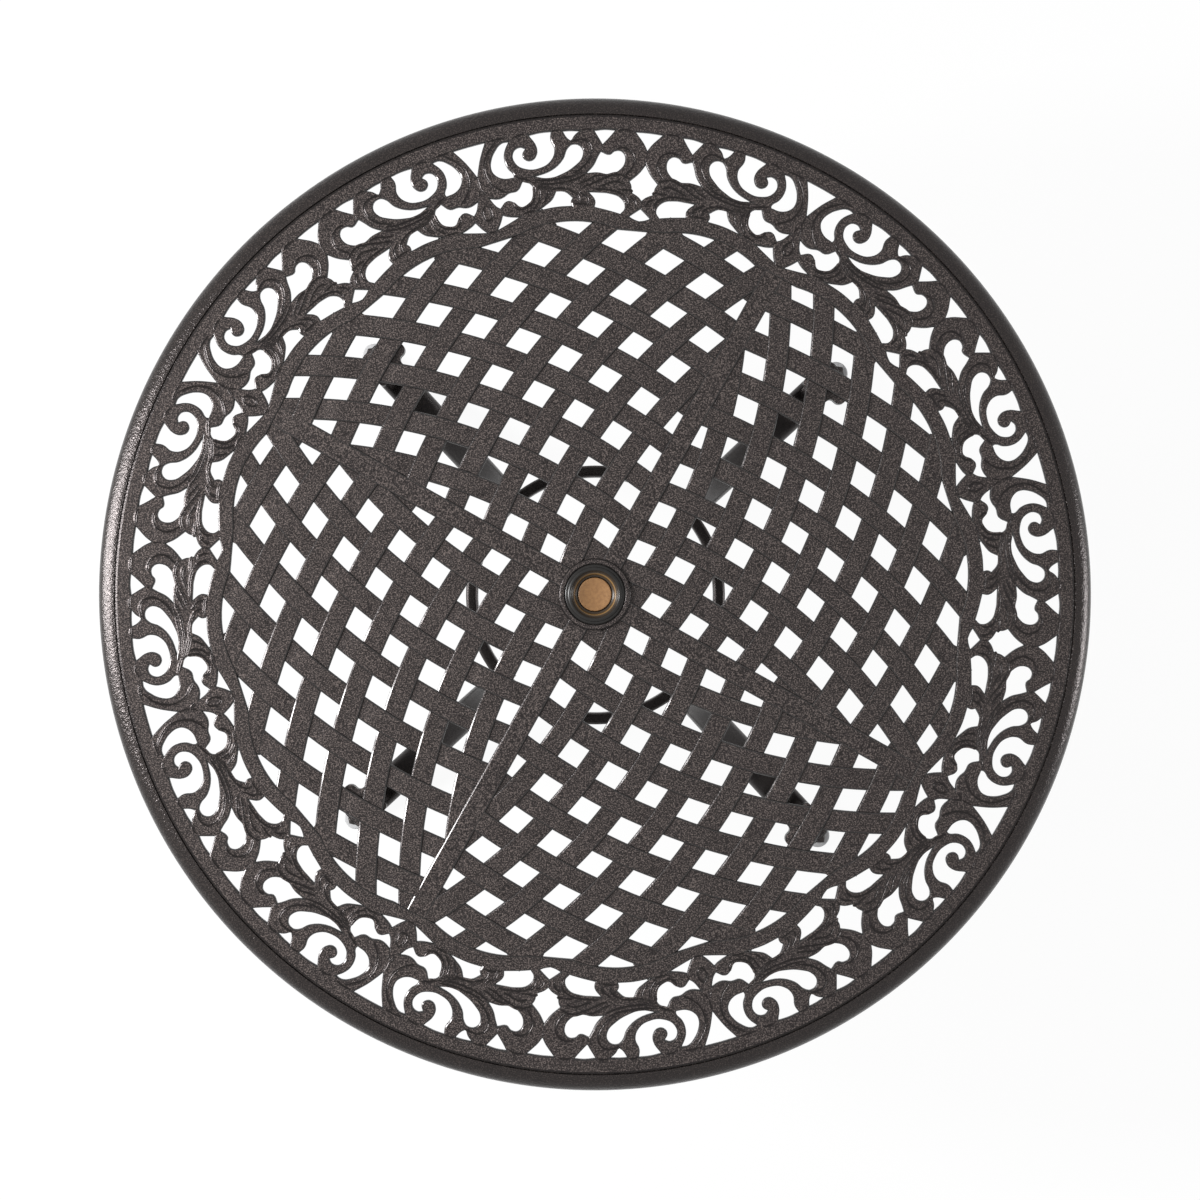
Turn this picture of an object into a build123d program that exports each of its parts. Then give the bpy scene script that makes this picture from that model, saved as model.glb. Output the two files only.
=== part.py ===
from build123d import *
import os
from math import atan2, cos, hypot, radians, sin, sqrt

# Round garden table in cast metal: the floor's centre is the origin, +Z is up.
# Legs stand on the diagonals, and the straight ridges of the top are turned past them.
leg_count = 4
leg_angle = 45.0
ridge_angle = 63.0

# Table top, from the outside in
table_diameter = 1220.0
table_height = 730.0
rim_width = 24.0
rim_drop = 36.0
rim_roll_height = 22.0
rim_wall = 5.0
ledge_reach = 10.0
ledge_thickness = 5.0
casting_seam = 0.3
groove_chamfer = 1.2
plate_thickness = 8.0
band_width = 17.5
border_width = 91.5
motif_count = 8
lobes_per_motif = 2
lobe_radius = 157.0
frame_width = 19.6

# Woven centre: bowed straps both ways in each quarter, straight ridges between the quarters
strap_width = 26.6
strap_pitch = 53.2
first_strap = 50.5
first_strap_bow = 625.0
strap_bow_step = 42.0
first_strap_apex = 104.0
strap_apex_step = 2.0
ridge_width = 26.0
ridge_count = 4
smallest_gap_area = 40.0

# Umbrella hole: hub of the centre casting, grommet and plug
pole_diameter = 38.0
pole_clearance = 0.2
plug_ledge = 1.8
plug_thickness = 9.0
plug_dish = 1.5
plug_chamfer = 1.0
plug_depth = 4.0
throat_flare = 8.0
grommet_wall = 4.5
grommet_flange = 11.5
grommet_flange_thickness = 4.0
grommet_length = 46.0
hub_lip_width = 6.6
hub_lip_height = 3.0
hub_length = 16.0
running_gap = 0.4

# Legs: a bowed bar under each diagonal, with a bolting flange on top and a narrow toe
leg_width = 38.0
leg_thickness = 26.0
leg_corner = 10.0
leg_mount_inset = 226.0
flange_thickness = 8.0
flange_length = 44.0
flange_corner = 6.0
flange_ear_radius = 8.5
flange_shoulder = 5.5
mount_pad_thickness = 8.0
mount_bolt_margin = 1.0
mount_bolt_diameter = 6.0
mount_bolt_bite = 6.0
mount_head_flats = 10.0
mount_head_height = 4.0
mount_washer_diameter = 12.0
mount_washer_thickness = 1.2
lock_washer_diameter = 11.0
lock_washer_thickness = 1.4
lock_washer_split = 1.6
bolt_clearance = 0.2
thread_clearance = 0.06

# Hoop that ties the legs together at their waists
hoop_height = 360.0
hoop_mean_radius = 169.5
hoop_bar_width = 16.0
hoop_bar_height = 30.0
hoop_corner = 5.0
saddle_depth = 1.5
saddle_clearance = 0.2
hoop_bolt_diameter = 8.0
hoop_head_flats = 13.0
hoop_head_height = 5.3
hoop_washer_diameter = 16.0
hoop_washer_thickness = 1.6
spot_face_depth = 0.6
cap_nut_height = 7.0
cap_nut_dome = 5.5
cap_nut_taper = 25.0

# Feet
foot_inset = 113.0
toe_width = 20.0
toe_taper_length = 85.0
toe_flat = 1.0
pad_diameter = 36.0
pad_height = 8.0
pad_edge = 2.0
pad_floor = 3.0
stud_diameter = 6.0
toe_roof = 6.0
foot_insert_diameter = 10.0
foot_insert_length = 13.0

# Openings in one half of the border's scroll motif, drawn on a ring of these two radii.
# Each opening is a list of curves between sharp tips, as (across, outwards) from a bud's axis.
drawn_inner = 477.0
drawn_outer = 568.5
drawn_motif_count = 8
scroll_openings = [
    [[(48, 561), (40, 561.6), (30, 555), (22, 544.5), (19.3, 535), (21, 527.5), (30, 519.5), (42.5, 517.3)],
     [(42.5, 517.3), (43.4, 520.5), (38.6, 530), (37.2, 541), (40, 550.5), (48, 561)]],
    [[(74.5, 561.8), (88, 561.3), (101.5, 559)],
     [(101.5, 559), (98.4, 550.5), (99.8, 537), (92, 525), (77, 520), (60, 523.3), (49.5, 533.5),
      (50.5, 546.8), (59.5, 550.8), (65.5, 547.3)],
     [(65.5, 547.3), (60.2, 541), (62, 534.6), (69, 531.4), (76.5, 535.3), (80, 545), (74.5, 561.8)]],
    [[(115.8, 555.6), (125, 553.6), (135.3, 550.3)],
     [(135.3, 550.3), (128, 547), (122.5, 541.5)],
     [(122.5, 541.5), (118.8, 546.3), (115.8, 555.6)]],
    [[(68, 511.4), (90, 513.5), (107, 522.6), (116.5, 534.3), (124, 536.8), (132.3, 530.5),
      (130.5, 519.5), (117, 510.4), (100, 505.6), (84, 505), (68, 511.4)]],
    [[(153.3, 545.8), (166, 543.6), (178, 539.3)],
     [(178, 539.3), (169, 533.4), (158.5, 527.3)],
     [(158.5, 527.3), (156.3, 535.5), (153.3, 545.8)]],
    [[(130, 498.5), (143, 495.8), (156, 490), (168, 490.6), (179, 499.5), (179, 511.5), (171, 515),
      (163.5, 512.6), (154, 519)],
     [(154, 519), (149, 514), (141, 505.3), (130, 498.5)]],
    [[(7.5, 500.2), (17, 497), (24, 497.4), (32, 500.3), (43, 500.6), (52, 509.6)],
     [(52, 509.6), (61, 503), (60, 491), (52, 481.6), (42, 480.2), (34.8, 488), (27, 491.7), (16.8, 485.2)],
     [(16.8, 485.2), (13, 489), (7.5, 500.2)]],
    [[(6.9, 460.8), (12.5, 468), (17.5, 476.2)],
     [(17.5, 476.2), (22.5, 473.3), (36, 468.6)],
     [(36, 468.6), (20, 464.2), (6.9, 460.8)]],
    [[(61.5, 470.4), (72, 474.4), (81, 478.8), (88.5, 487.3)],
     [(88.5, 487.3), (98, 484), (105.3, 474.2)],
     [(105.3, 474.2), (101.9, 470), (101.6, 464.9)],
     [(101.6, 464.9), (83, 468.8), (61.5, 470.4)]],
    [[(126.6, 475.4), (137, 472), (150, 467), (162, 457.3), (163, 444.5), (156, 439.4)],
     [(156, 439.4), (146, 445.8), (128.3, 456)],
     [(128.3, 456), (131.2, 463), (126.6, 475.4)]],
]
bud_opening = [
    [(-20, 567.8), (0, 568.2), (20, 567.8)],
    [(20, 567.8), (10, 552), (4.2, 540), (0, 530)],
    [(0, 530), (-4.2, 540), (-10, 552), (-20, 567.8)],
]
star_openings = [
    [[(-16.6, 567), (0, 567.6), (16.6, 567)],
     [(16.6, 567), (10.5, 560.4), (4.6, 553.5), (0, 546)],
     [(0, 546), (-4.6, 553.5), (-10.5, 560.4), (-16.6, 567)]],
    [[(0, 484.4), (4.3, 488.5), (13.6, 493.3)],
     [(13.6, 493.3), (14.2, 500.7), (17.1, 506.5)],
     [(17.1, 506.5), (6.1, 518.2), (0, 528.2)],
     [(0, 528.2), (-6.1, 518.2), (-17.1, 506.5)],
     [(-17.1, 506.5), (-14.2, 500.7), (-13.6, 493.3)],
     [(-13.6, 493.3), (-4.3, 488.5), (0, 484.4)]],
    [[(0, 459.2), (6.4, 460.8), (12.7, 463.6)],
     [(12.7, 463.6), (6, 469.3), (0, 474.2)],
     [(0, 474.2), (-6, 469.3), (-12.7, 463.6)],
     [(-12.7, 463.6), (-6.4, 460.8), (0, 459.2)]],
]

# Radii and heights that follow from the sizes above
table_radius = table_diameter / 2
lobe_count = lobes_per_motif * motif_count
rim_inner = table_radius - rim_width
band_inner = rim_inner - band_width
lobe_apex = band_inner - border_width
lobe_centre = lobe_apex - lobe_radius
lobe_inner_radius = lobe_radius - frame_width
plate_bottom = table_height - plate_thickness
top_plane = Plane(origin=(0, 0, plate_bottom)).rotated((0, 0, ridge_angle))

bore_radius = pole_diameter / 2 + pole_clearance
plug_radius = bore_radius + plug_ledge - running_gap
plug_seat_radius = bore_radius + plug_ledge
sleeve_radius = plug_seat_radius + grommet_wall
flange_radius = sleeve_radius + grommet_flange
throat_radius = plug_seat_radius + throat_flare
hub_bore_radius = sleeve_radius + running_gap
lip_inner = flange_radius + running_gap
hub_radius = lip_inner + hub_lip_width

leg_mount_radius = table_radius - leg_mount_inset
foot_radius = table_radius - foot_inset
pad_bottom = plate_bottom - mount_pad_thickness
flange_bottom = pad_bottom - flange_thickness
bolt_radius = mount_bolt_diameter / 2
mount_bolt_spacing = leg_width + mount_washer_diameter + 2 * mount_bolt_margin
hoop_outer = hoop_mean_radius + hoop_bar_width / 2
hoop_inner = hoop_mean_radius - hoop_bar_width / 2
waist_radius = hoop_outer + leg_thickness / 2 - saddle_depth
waist_outer = waist_radius + leg_thickness / 2
toe_bottom = pad_height + casting_seam
toe_centre = toe_bottom + leg_thickness / 2 - toe_flat
stud_reach = leg_thickness - toe_flat - toe_roof
hoop_bolt_radius = hoop_bolt_diameter / 2
stud_radius = stud_diameter / 2
leg_names = [chr(ord("a") + i) for i in range(leg_count)]
leg_angles = [leg_angle + i * 360 / leg_count for i in range(leg_count)]


def polar(radius, angle):
    return (radius * cos(radians(angle)), radius * sin(radians(angle)))


def radial_plane(radius, angle, height):
    """A plane square to a leg's radius: x runs across the leg, z points outwards."""
    x, y = polar(radius, angle)
    return Plane(origin=(x, y, height), x_dir=polar(1, angle + 90) + (0,), z_dir=polar(1, angle) + (0,))


def side_plane(angle):
    """The upright plane of one leg: x is the distance from the table's axis, y is the height."""
    return Plane(origin=(0, 0, 0), x_dir=polar(1, angle) + (0,), z_dir=polar(1, angle - 90) + (0,))


def leg_plane(angle, height):
    """A level plane turned to one leg: x points outwards."""
    return Plane(origin=(0, 0, height)).rotated((0, 0, angle))


def lobe_outline(arc_radius):
    """The scalloped outline: arcs about centres on one circle, meeting in cusps."""
    step = 360 / lobe_count
    reach = lobe_centre * sin(radians(step / 2))
    cusp = lobe_centre * cos(radians(step / 2)) + sqrt(arc_radius**2 - reach**2)
    for lobe in range(lobe_count):
        start = polar(cusp, lobe * step)
        crest = polar(lobe_centre + arc_radius, (lobe + 0.5) * step)
        end = polar(cusp, (lobe + 1) * step)
        ThreePointArc(start, crest, end)


def motif_point(across, outwards):
    """A drawn point moved to this border's radii and to this number of motifs."""
    share = (hypot(across, outwards) - drawn_inner) / (drawn_outer - drawn_inner)
    angle = atan2(across, outwards) * drawn_motif_count / motif_count
    radius = lobe_apex + share * (band_inner - lobe_apex)
    return (radius * sin(angle), radius * cos(angle))


def draw_opening(curves):
    with BuildLine() as outline:
        for curve in curves:
            Spline(*[motif_point(*point) for point in curve])
    make_face(outline.edges())


def strap_ring(number, crosswise):
    """One bowed strap as a whole ring: only the stretch in the first quarter is used."""
    bow = first_strap_bow + strap_bow_step * number
    centre = first_strap + strap_pitch * number - bow
    apex = first_strap_apex + strap_apex_step * number
    place = Pos(apex, centre) if crosswise else Pos(centre, apex)
    return place * (Circle(bow + strap_width / 2) - Circle(bow - strap_width / 2))


def flange_outline():
    """A middle as wide as the leg and two bolt ears, with hollow shoulders between them."""
    RectangleRounded(flange_length, leg_width, flange_corner)
    with GridLocations(0, mount_bolt_spacing, 1, 2):
        Circle(flange_ear_radius)
    Rectangle(2 * flange_ear_radius, mount_bolt_spacing)
    shoulder_line = (flange_ear_radius + flange_length / 2 - flange_corner) / 2
    ear_sides = vertices().filter_by_position(Axis.X, -shoulder_line, shoulder_line)
    hollows = ear_sides.group_by(lambda vertex: round(abs(vertex.Y), 3))[0]
    fillet(hollows, radius=flange_shoulder)


# Rolled rim: a hollow bullnose with a skirt, and a ledge that carries the border
rim_step = rim_inner + casting_seam
with BuildPart() as top_rim:
    with BuildSketch(Plane.XZ):
        with BuildLine():
            skirt_bottom = table_height - rim_drop
            roll_bottom = table_height - rim_roll_height
            ledge_bottom = plate_bottom - ledge_thickness
            Polyline((rim_step, plate_bottom), (rim_step, table_height - groove_chamfer),
                     (rim_step + groove_chamfer, table_height))
            EllipticalCenterArc((rim_step + groove_chamfer, roll_bottom),
                                rim_width - casting_seam - groove_chamfer, rim_roll_height, arc_size=90)
            Polyline((table_radius, roll_bottom), (table_radius, skirt_bottom),
                     (table_radius - rim_wall, skirt_bottom), (table_radius - rim_wall, ledge_bottom),
                     (rim_inner - ledge_reach, ledge_bottom), (rim_inner - ledge_reach, plate_bottom),
                     (rim_step, plate_bottom))
        make_face()
    revolve(axis=Axis.Z)
top_rim.part.label = "top_rim"

# Scroll border: flat band, pierced scrolls and the scalloped frame round the centre
with BuildSketch() as motif_openings:
    for opening in scroll_openings:
        draw_opening(opening)
    mirror(about=Plane.YZ)
    draw_opening(bud_opening)
with BuildSketch() as star_axis_openings:
    for opening in star_openings:
        draw_opening(opening)
star_turn = -180 / motif_count

with BuildPart() as scroll_border:
    with BuildSketch(top_plane):
        Circle(rim_inner)
        with BuildLine():
            lobe_outline(lobe_inner_radius)
        make_face(mode=Mode.SUBTRACT)
        with PolarLocations(0, motif_count):
            add(motif_openings.sketch, mode=Mode.SUBTRACT)
        with PolarLocations(0, motif_count, start_angle=star_turn):
            add(star_axis_openings.sketch, mode=Mode.SUBTRACT)
    extrude(amount=plate_thickness)
    top_edges = scroll_border.edges().group_by(Axis.Z)[-1]
    chamfer(top_edges.sort_by(SortBy.LENGTH)[-1], length=groove_chamfer)
scroll_border.part.label = "scroll_border"

# Woven centre: one quarter's openings between the straps, turned round four times
panel_reach = lobe_centre + lobe_inner_radius
strap_count = int((panel_reach - first_strap) / strap_pitch) + 2
straps = [strap_ring(k, crosswise) for k in range(strap_count) for crosswise in (False, True)]
with BuildSketch() as panel_outline:
    with BuildLine():
        lobe_outline(lobe_inner_radius - casting_seam)
    make_face()
with BuildSketch() as quarter:
    with Locations((ridge_width / 2, ridge_width / 2)):
        Rectangle(panel_reach, panel_reach, align=(Align.MIN, Align.MIN))
    add(straps, mode=Mode.SUBTRACT)
strap_gaps = []
for cell in quarter.faces():
    inside = panel_outline.face() & cell
    if inside and sum(face.area for face in inside.faces()) > smallest_gap_area:
        strap_gaps.append(cell)

with BuildPart() as lattice_panel:
    with BuildSketch(top_plane):
        add(panel_outline.sketch)
        with PolarLocations(0, ridge_count):
            add(strap_gaps, mode=Mode.SUBTRACT)
        Circle(hub_radius)
    extrude(amount=plate_thickness)
    with BuildSketch(Plane.XY.offset(table_height)):
        Circle(hub_radius)
        Circle(lip_inner, mode=Mode.SUBTRACT)
    extrude(amount=hub_lip_height)
    with BuildSketch(Plane.XY.offset(plate_bottom)):
        Circle(hub_radius)
    extrude(amount=plate_thickness - hub_length)
    for angle in leg_angles:
        x, y = polar(leg_mount_radius, angle)
        with BuildSketch(Plane(origin=(x, y, pad_bottom)).rotated((0, 0, angle))):
            flange_outline()
        extrude(amount=mount_pad_thickness)
    with BuildSketch(Plane.XY.offset(table_height + hub_lip_height)):
        Circle(hub_bore_radius)
    extrude(amount=-hub_length - hub_lip_height, mode=Mode.SUBTRACT)
    with BuildSketch(Plane.XY.offset(pad_bottom)):
        with PolarLocations(leg_mount_radius, leg_count, start_angle=leg_angle):
            with GridLocations(0, mount_bolt_spacing, 1, 2):
                Circle(bolt_radius + thread_clearance)
    extrude(amount=mount_bolt_bite + thread_clearance, mode=Mode.SUBTRACT)
lattice_panel.part.label = "lattice_panel"

# Grommet in the hub: flange on the hub, flared throat, plug seat and pole bore
flange_top = table_height + grommet_flange_thickness
plug_top = table_height - plug_depth
plug_bottom = plug_top - plug_thickness
grommet_bottom = table_height - grommet_length
with BuildPart() as umbrella_grommet:
    with BuildSketch(Plane.XZ):
        with BuildLine():
            Polyline((bore_radius, grommet_bottom), (sleeve_radius, grommet_bottom),
                     (sleeve_radius, table_height), (flange_radius, table_height))
            EllipticalCenterArc((throat_radius, table_height), flange_radius - throat_radius,
                                grommet_flange_thickness, arc_size=90)
            Polyline((throat_radius, flange_top), (plug_seat_radius, plug_top),
                     (plug_seat_radius, plug_bottom), (bore_radius, plug_bottom),
                     (bore_radius, grommet_bottom))
        make_face()
    revolve(axis=Axis.Z)
umbrella_grommet.part.label = "umbrella_grommet"

# Plug that closes the pole bore: a shallow dished disc on the grommet's ledge
with BuildPart() as umbrella_plug:
    with BuildSketch(Plane.XZ):
        with BuildLine():
            Polyline((0, plug_top - plug_dish), (0, plug_bottom), (plug_radius, plug_bottom),
                     (plug_radius, plug_top - plug_chamfer), (plug_radius - plug_chamfer, plug_top))
            TangentArc((0, plug_top - plug_dish), (plug_radius - plug_chamfer, plug_top), tangent=(1, 0))
        make_face()
    revolve(axis=Axis.Z)
umbrella_plug.part.label = "umbrella_plug"


def make_leg(angle, name):
    waist = (waist_radius, hoop_height)
    top_end = (leg_mount_radius, flange_bottom)
    foot_end = (foot_radius, toe_centre)
    with BuildPart() as leg:
        with BuildLine(side_plane(angle)) as bow:
            upper = TangentArc(waist, top_end, tangent=(0, 1))
            top_slope = upper % 1
            top_reach = leg_thickness * hypot(top_slope.X, top_slope.Y) / top_slope.Z
            Line(top_end, upper @ 1 + top_slope * top_reach)
            lower = TangentArc(waist, foot_end, tangent=(0, -1))
            Line(foot_end, lower @ 1 + (lower % 1) * toe_width)
        start = bow.wire() @ 0
        along = bow.wire() % 0
        with BuildSketch(Plane(origin=start, x_dir=polar(1, angle + 90) + (0,), z_dir=along)):
            RectangleRounded(leg_width, leg_thickness, leg_corner)
        sweep(path=bow.wire())
        with BuildSketch(leg_plane(angle, toe_bottom)):
            with BuildLine():
                toe_half = toe_width / 2
                taper_slope = (leg_width / 2 - toe_half) / toe_taper_length
                wide_start = foot_radius - (leg_width - toe_half) / taper_slope
                Polyline((foot_radius, -toe_half), (wide_start, -leg_width), (0, -leg_width),
                         (0, leg_width), (wide_start, leg_width), (foot_radius, toe_half))
                ThreePointArc((foot_radius, toe_half), (foot_radius + toe_half, 0), (foot_radius, -toe_half))
            make_face()
        extrude(amount=flange_bottom - toe_bottom, mode=Mode.INTERSECT)
        x, y = polar(leg_mount_radius, angle)
        with BuildSketch(Plane(origin=(x, y, flange_bottom)).rotated((0, 0, angle))):
            flange_outline()
            with GridLocations(0, mount_bolt_spacing, 1, 2):
                Circle(bolt_radius + bolt_clearance, mode=Mode.SUBTRACT)
        extrude(amount=flange_thickness)
        with BuildSketch(Plane.XY.offset(hoop_height)):
            Circle(hoop_outer + saddle_clearance)
        extrude(amount=hoop_bar_height / 2 + saddle_clearance, both=True, mode=Mode.SUBTRACT)
        with BuildSketch(radial_plane(hoop_outer, angle, hoop_height)):
            Circle(hoop_bolt_radius + bolt_clearance)
        extrude(amount=2 * leg_thickness, mode=Mode.SUBTRACT)
        with BuildSketch(radial_plane(waist_outer - spot_face_depth, angle, hoop_height)):
            Circle(hoop_washer_diameter / 2 + bolt_clearance)
        extrude(amount=leg_thickness, mode=Mode.SUBTRACT)
        x, y = polar(foot_radius, angle)
        with BuildSketch(Plane(origin=(x, y, toe_bottom))):
            Circle(foot_insert_diameter / 2 + thread_clearance)
        extrude(amount=foot_insert_length, mode=Mode.SUBTRACT)
        with BuildSketch(Plane(origin=(x, y, toe_bottom))):
            Circle(stud_radius + bolt_clearance)
        extrude(amount=stud_reach + bolt_clearance, mode=Mode.SUBTRACT)
    leg.part.label = name
    return leg.part


legs = {f"leg_{letter}": make_leg(angle, f"leg_{letter}") for letter, angle in zip(leg_names, leg_angles)}

# Hoop: a rounded bar bent to a circle, drilled and spot-faced for the legs' bolts
with BuildPart() as stretcher_hoop:
    with BuildSketch(Plane.XZ):
        with Locations((hoop_mean_radius, hoop_height)):
            RectangleRounded(hoop_bar_width, hoop_bar_height, hoop_corner)
    revolve(axis=Axis.Z)
    for angle in leg_angles:
        with BuildSketch(radial_plane(hoop_inner / 2, angle, hoop_height)):
            Circle(hoop_bolt_radius + bolt_clearance)
        extrude(amount=hoop_outer, mode=Mode.SUBTRACT)
        with BuildSketch(radial_plane(hoop_inner + spot_face_depth, angle, hoop_height)):
            Circle(hoop_washer_diameter / 2 + bolt_clearance)
        extrude(amount=-hoop_bar_width, mode=Mode.SUBTRACT)
stretcher_hoop.part.label = "stretcher_hoop"

# Bolts, flat washers and lock washers under the legs' flanges
washer_bottom = flange_bottom - mount_washer_thickness
lock_bottom = washer_bottom - lock_washer_thickness
with BuildPart() as leg_mount_washers:
    with BuildSketch(Plane.XY.offset(washer_bottom)):
        with PolarLocations(leg_mount_radius, leg_count, start_angle=leg_angle):
            with GridLocations(0, mount_bolt_spacing, 1, 2):
                Circle(mount_washer_diameter / 2)
                Circle(bolt_radius + bolt_clearance, mode=Mode.SUBTRACT)
    extrude(amount=mount_washer_thickness)
leg_mount_washers.part.label = "leg_mount_washers"

with BuildPart() as leg_lock_washers:
    with BuildSketch(Plane.XY.offset(lock_bottom)):
        with PolarLocations(leg_mount_radius, leg_count, start_angle=leg_angle):
            with GridLocations(0, mount_bolt_spacing, 1, 2):
                Circle(lock_washer_diameter / 2)
                Circle(bolt_radius + bolt_clearance, mode=Mode.SUBTRACT)
                Rectangle(lock_washer_diameter, lock_washer_split, align=(Align.MIN, Align.CENTER),
                          mode=Mode.SUBTRACT)
    extrude(amount=lock_washer_thickness)
leg_lock_washers.part.label = "leg_lock_washers"

with BuildPart() as leg_mount_bolts:
    with BuildSketch(Plane.XY.offset(lock_bottom)):
        with PolarLocations(leg_mount_radius, leg_count, start_angle=leg_angle):
            with GridLocations(0, mount_bolt_spacing, 1, 2):
                RegularPolygon(mount_head_flats / 2, 6, major_radius=False)
    extrude(amount=-mount_head_height)
    with BuildSketch(Plane.XY.offset(lock_bottom)):
        with PolarLocations(leg_mount_radius, leg_count, start_angle=leg_angle):
            with GridLocations(0, mount_bolt_spacing, 1, 2):
                Circle(bolt_radius)
    extrude(amount=pad_bottom + mount_bolt_bite - lock_bottom)
leg_mount_bolts.part.label = "leg_mount_bolts"

# Bolts, washers and cap nuts that hold the hoop to the legs
inner_seat = hoop_inner + spot_face_depth
outer_seat = waist_outer - spot_face_depth
head_seat = inner_seat - hoop_washer_thickness
nut_seat = outer_seat + hoop_washer_thickness
nut_end = nut_seat + cap_nut_height
with BuildPart() as hoop_washers:
    for angle in leg_angles:
        for washer_inner in (head_seat, outer_seat):
            with BuildSketch(radial_plane(washer_inner, angle, hoop_height)):
                Circle(hoop_washer_diameter / 2)
                Circle(hoop_bolt_radius + bolt_clearance, mode=Mode.SUBTRACT)
            extrude(amount=hoop_washer_thickness)
hoop_washers.part.label = "hoop_washers"

with BuildPart() as hoop_bolts:
    for angle in leg_angles:
        with BuildSketch(radial_plane(head_seat, angle, hoop_height)):
            RegularPolygon(hoop_head_flats / 2, 6, major_radius=False)
        extrude(amount=-hoop_head_height)
        with BuildSketch(radial_plane(head_seat, angle, hoop_height)):
            Circle(hoop_bolt_radius)
        extrude(amount=nut_end - head_seat)
hoop_bolts.part.label = "hoop_bolts"

with BuildPart() as hoop_cap_nuts:
    for angle in leg_angles:
        with BuildSketch(radial_plane(nut_seat, angle, hoop_height)):
            RegularPolygon(hoop_head_flats / 2, 6, major_radius=False)
        extrude(amount=cap_nut_height)
        with BuildSketch(radial_plane(nut_end, angle, hoop_height)):
            Circle(cap_nut_dome)
        extrude(amount=cap_nut_dome, taper=cap_nut_taper)
        with BuildSketch(radial_plane(nut_seat, angle, hoop_height)):
            Circle(hoop_bolt_radius + thread_clearance)
        extrude(amount=cap_nut_height + thread_clearance, mode=Mode.SUBTRACT)
hoop_cap_nuts.part.label = "hoop_cap_nuts"

# Threaded inserts in the toes
with BuildPart() as foot_inserts:
    with BuildSketch(Plane.XY.offset(toe_bottom)):
        with PolarLocations(foot_radius, leg_count, start_angle=leg_angle):
            Circle(foot_insert_diameter / 2)
            Circle(stud_radius + thread_clearance, mode=Mode.SUBTRACT)
    extrude(amount=foot_insert_length)
foot_inserts.part.label = "foot_inserts"


def make_stud(angle, name):
    x, y = polar(foot_radius, angle)
    with BuildPart() as stud:
        with BuildSketch(Plane(origin=(x, y, pad_floor))):
            Circle(stud_radius)
        extrude(amount=toe_bottom + stud_reach - pad_floor)
    stud.part.label = name
    return stud.part


def make_pad(angle, name):
    x, y = polar(foot_radius, angle)
    with BuildPart() as pad:
        with BuildSketch(Plane(origin=(x, y, 0))):
            Circle(pad_diameter / 2)
        extrude(amount=pad_height)
        fillet(pad.edges().group_by(Axis.Z)[-1], radius=pad_edge)
        with BuildSketch(Plane(origin=(x, y, pad_floor))):
            Circle(stud_radius + thread_clearance)
        extrude(amount=pad_height, mode=Mode.SUBTRACT)
    pad.part.label = name
    return pad.part


studs = {f"leveler_stud_{n}": make_stud(a, f"leveler_stud_{n}") for n, a in zip(leg_names, leg_angles)}
pads = {f"leveler_pad_{n}": make_pad(a, f"leveler_pad_{n}") for n, a in zip(leg_names, leg_angles)}

os.makedirs("parts", exist_ok=True)
export_step(top_rim.part, "parts/top_rim.step")
export_step(scroll_border.part, "parts/scroll_border.step")
export_step(lattice_panel.part, "parts/lattice_panel.step")
export_step(umbrella_grommet.part, "parts/umbrella_grommet.step")
export_step(umbrella_plug.part, "parts/umbrella_plug.step")
export_step(stretcher_hoop.part, "parts/stretcher_hoop.step")
export_step(leg_mount_bolts.part, "parts/leg_mount_bolts.step")
export_step(leg_mount_washers.part, "parts/leg_mount_washers.step")
export_step(leg_lock_washers.part, "parts/leg_lock_washers.step")
export_step(hoop_bolts.part, "parts/hoop_bolts.step")
export_step(hoop_washers.part, "parts/hoop_washers.step")
export_step(hoop_cap_nuts.part, "parts/hoop_cap_nuts.step")
export_step(foot_inserts.part, "parts/foot_inserts.step")
for name, solid in {**legs, **studs, **pads}.items():
    export_step(solid, f"parts/{name}.step")
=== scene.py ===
import bpy
from math import acos, asin, atan2, ceil, cos, hypot, pi, radians, sin, sqrt
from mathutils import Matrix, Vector


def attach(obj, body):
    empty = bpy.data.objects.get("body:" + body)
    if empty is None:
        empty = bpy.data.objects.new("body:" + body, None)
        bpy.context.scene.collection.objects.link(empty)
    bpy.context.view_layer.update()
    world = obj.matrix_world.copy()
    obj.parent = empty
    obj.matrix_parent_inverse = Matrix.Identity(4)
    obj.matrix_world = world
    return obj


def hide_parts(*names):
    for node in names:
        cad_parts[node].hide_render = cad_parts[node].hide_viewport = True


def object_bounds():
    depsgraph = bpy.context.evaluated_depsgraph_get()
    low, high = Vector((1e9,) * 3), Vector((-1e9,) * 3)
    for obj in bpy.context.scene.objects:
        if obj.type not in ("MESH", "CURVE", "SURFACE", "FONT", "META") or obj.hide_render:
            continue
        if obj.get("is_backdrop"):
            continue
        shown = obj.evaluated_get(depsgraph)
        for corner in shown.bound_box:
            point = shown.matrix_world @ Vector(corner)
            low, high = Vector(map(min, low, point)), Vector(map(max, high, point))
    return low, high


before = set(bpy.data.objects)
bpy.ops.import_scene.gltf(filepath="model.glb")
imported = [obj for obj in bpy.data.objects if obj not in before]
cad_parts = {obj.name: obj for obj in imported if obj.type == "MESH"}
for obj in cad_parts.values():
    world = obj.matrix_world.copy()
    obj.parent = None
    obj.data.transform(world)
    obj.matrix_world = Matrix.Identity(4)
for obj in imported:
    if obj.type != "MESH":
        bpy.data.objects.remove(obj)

cadLow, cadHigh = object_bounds()
mm = 0.001
mergeWithin = 0.005 * mm
ridgeTurn = radians(63)  # the woven centre and the scrolls are turned past the legs


# small tools for the bench
def clearSelection():
    if bpy.context.object and bpy.context.object.mode != "OBJECT":
        bpy.ops.object.mode_set(mode="OBJECT")
    bpy.ops.object.select_all(action="DESELECT")


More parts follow.
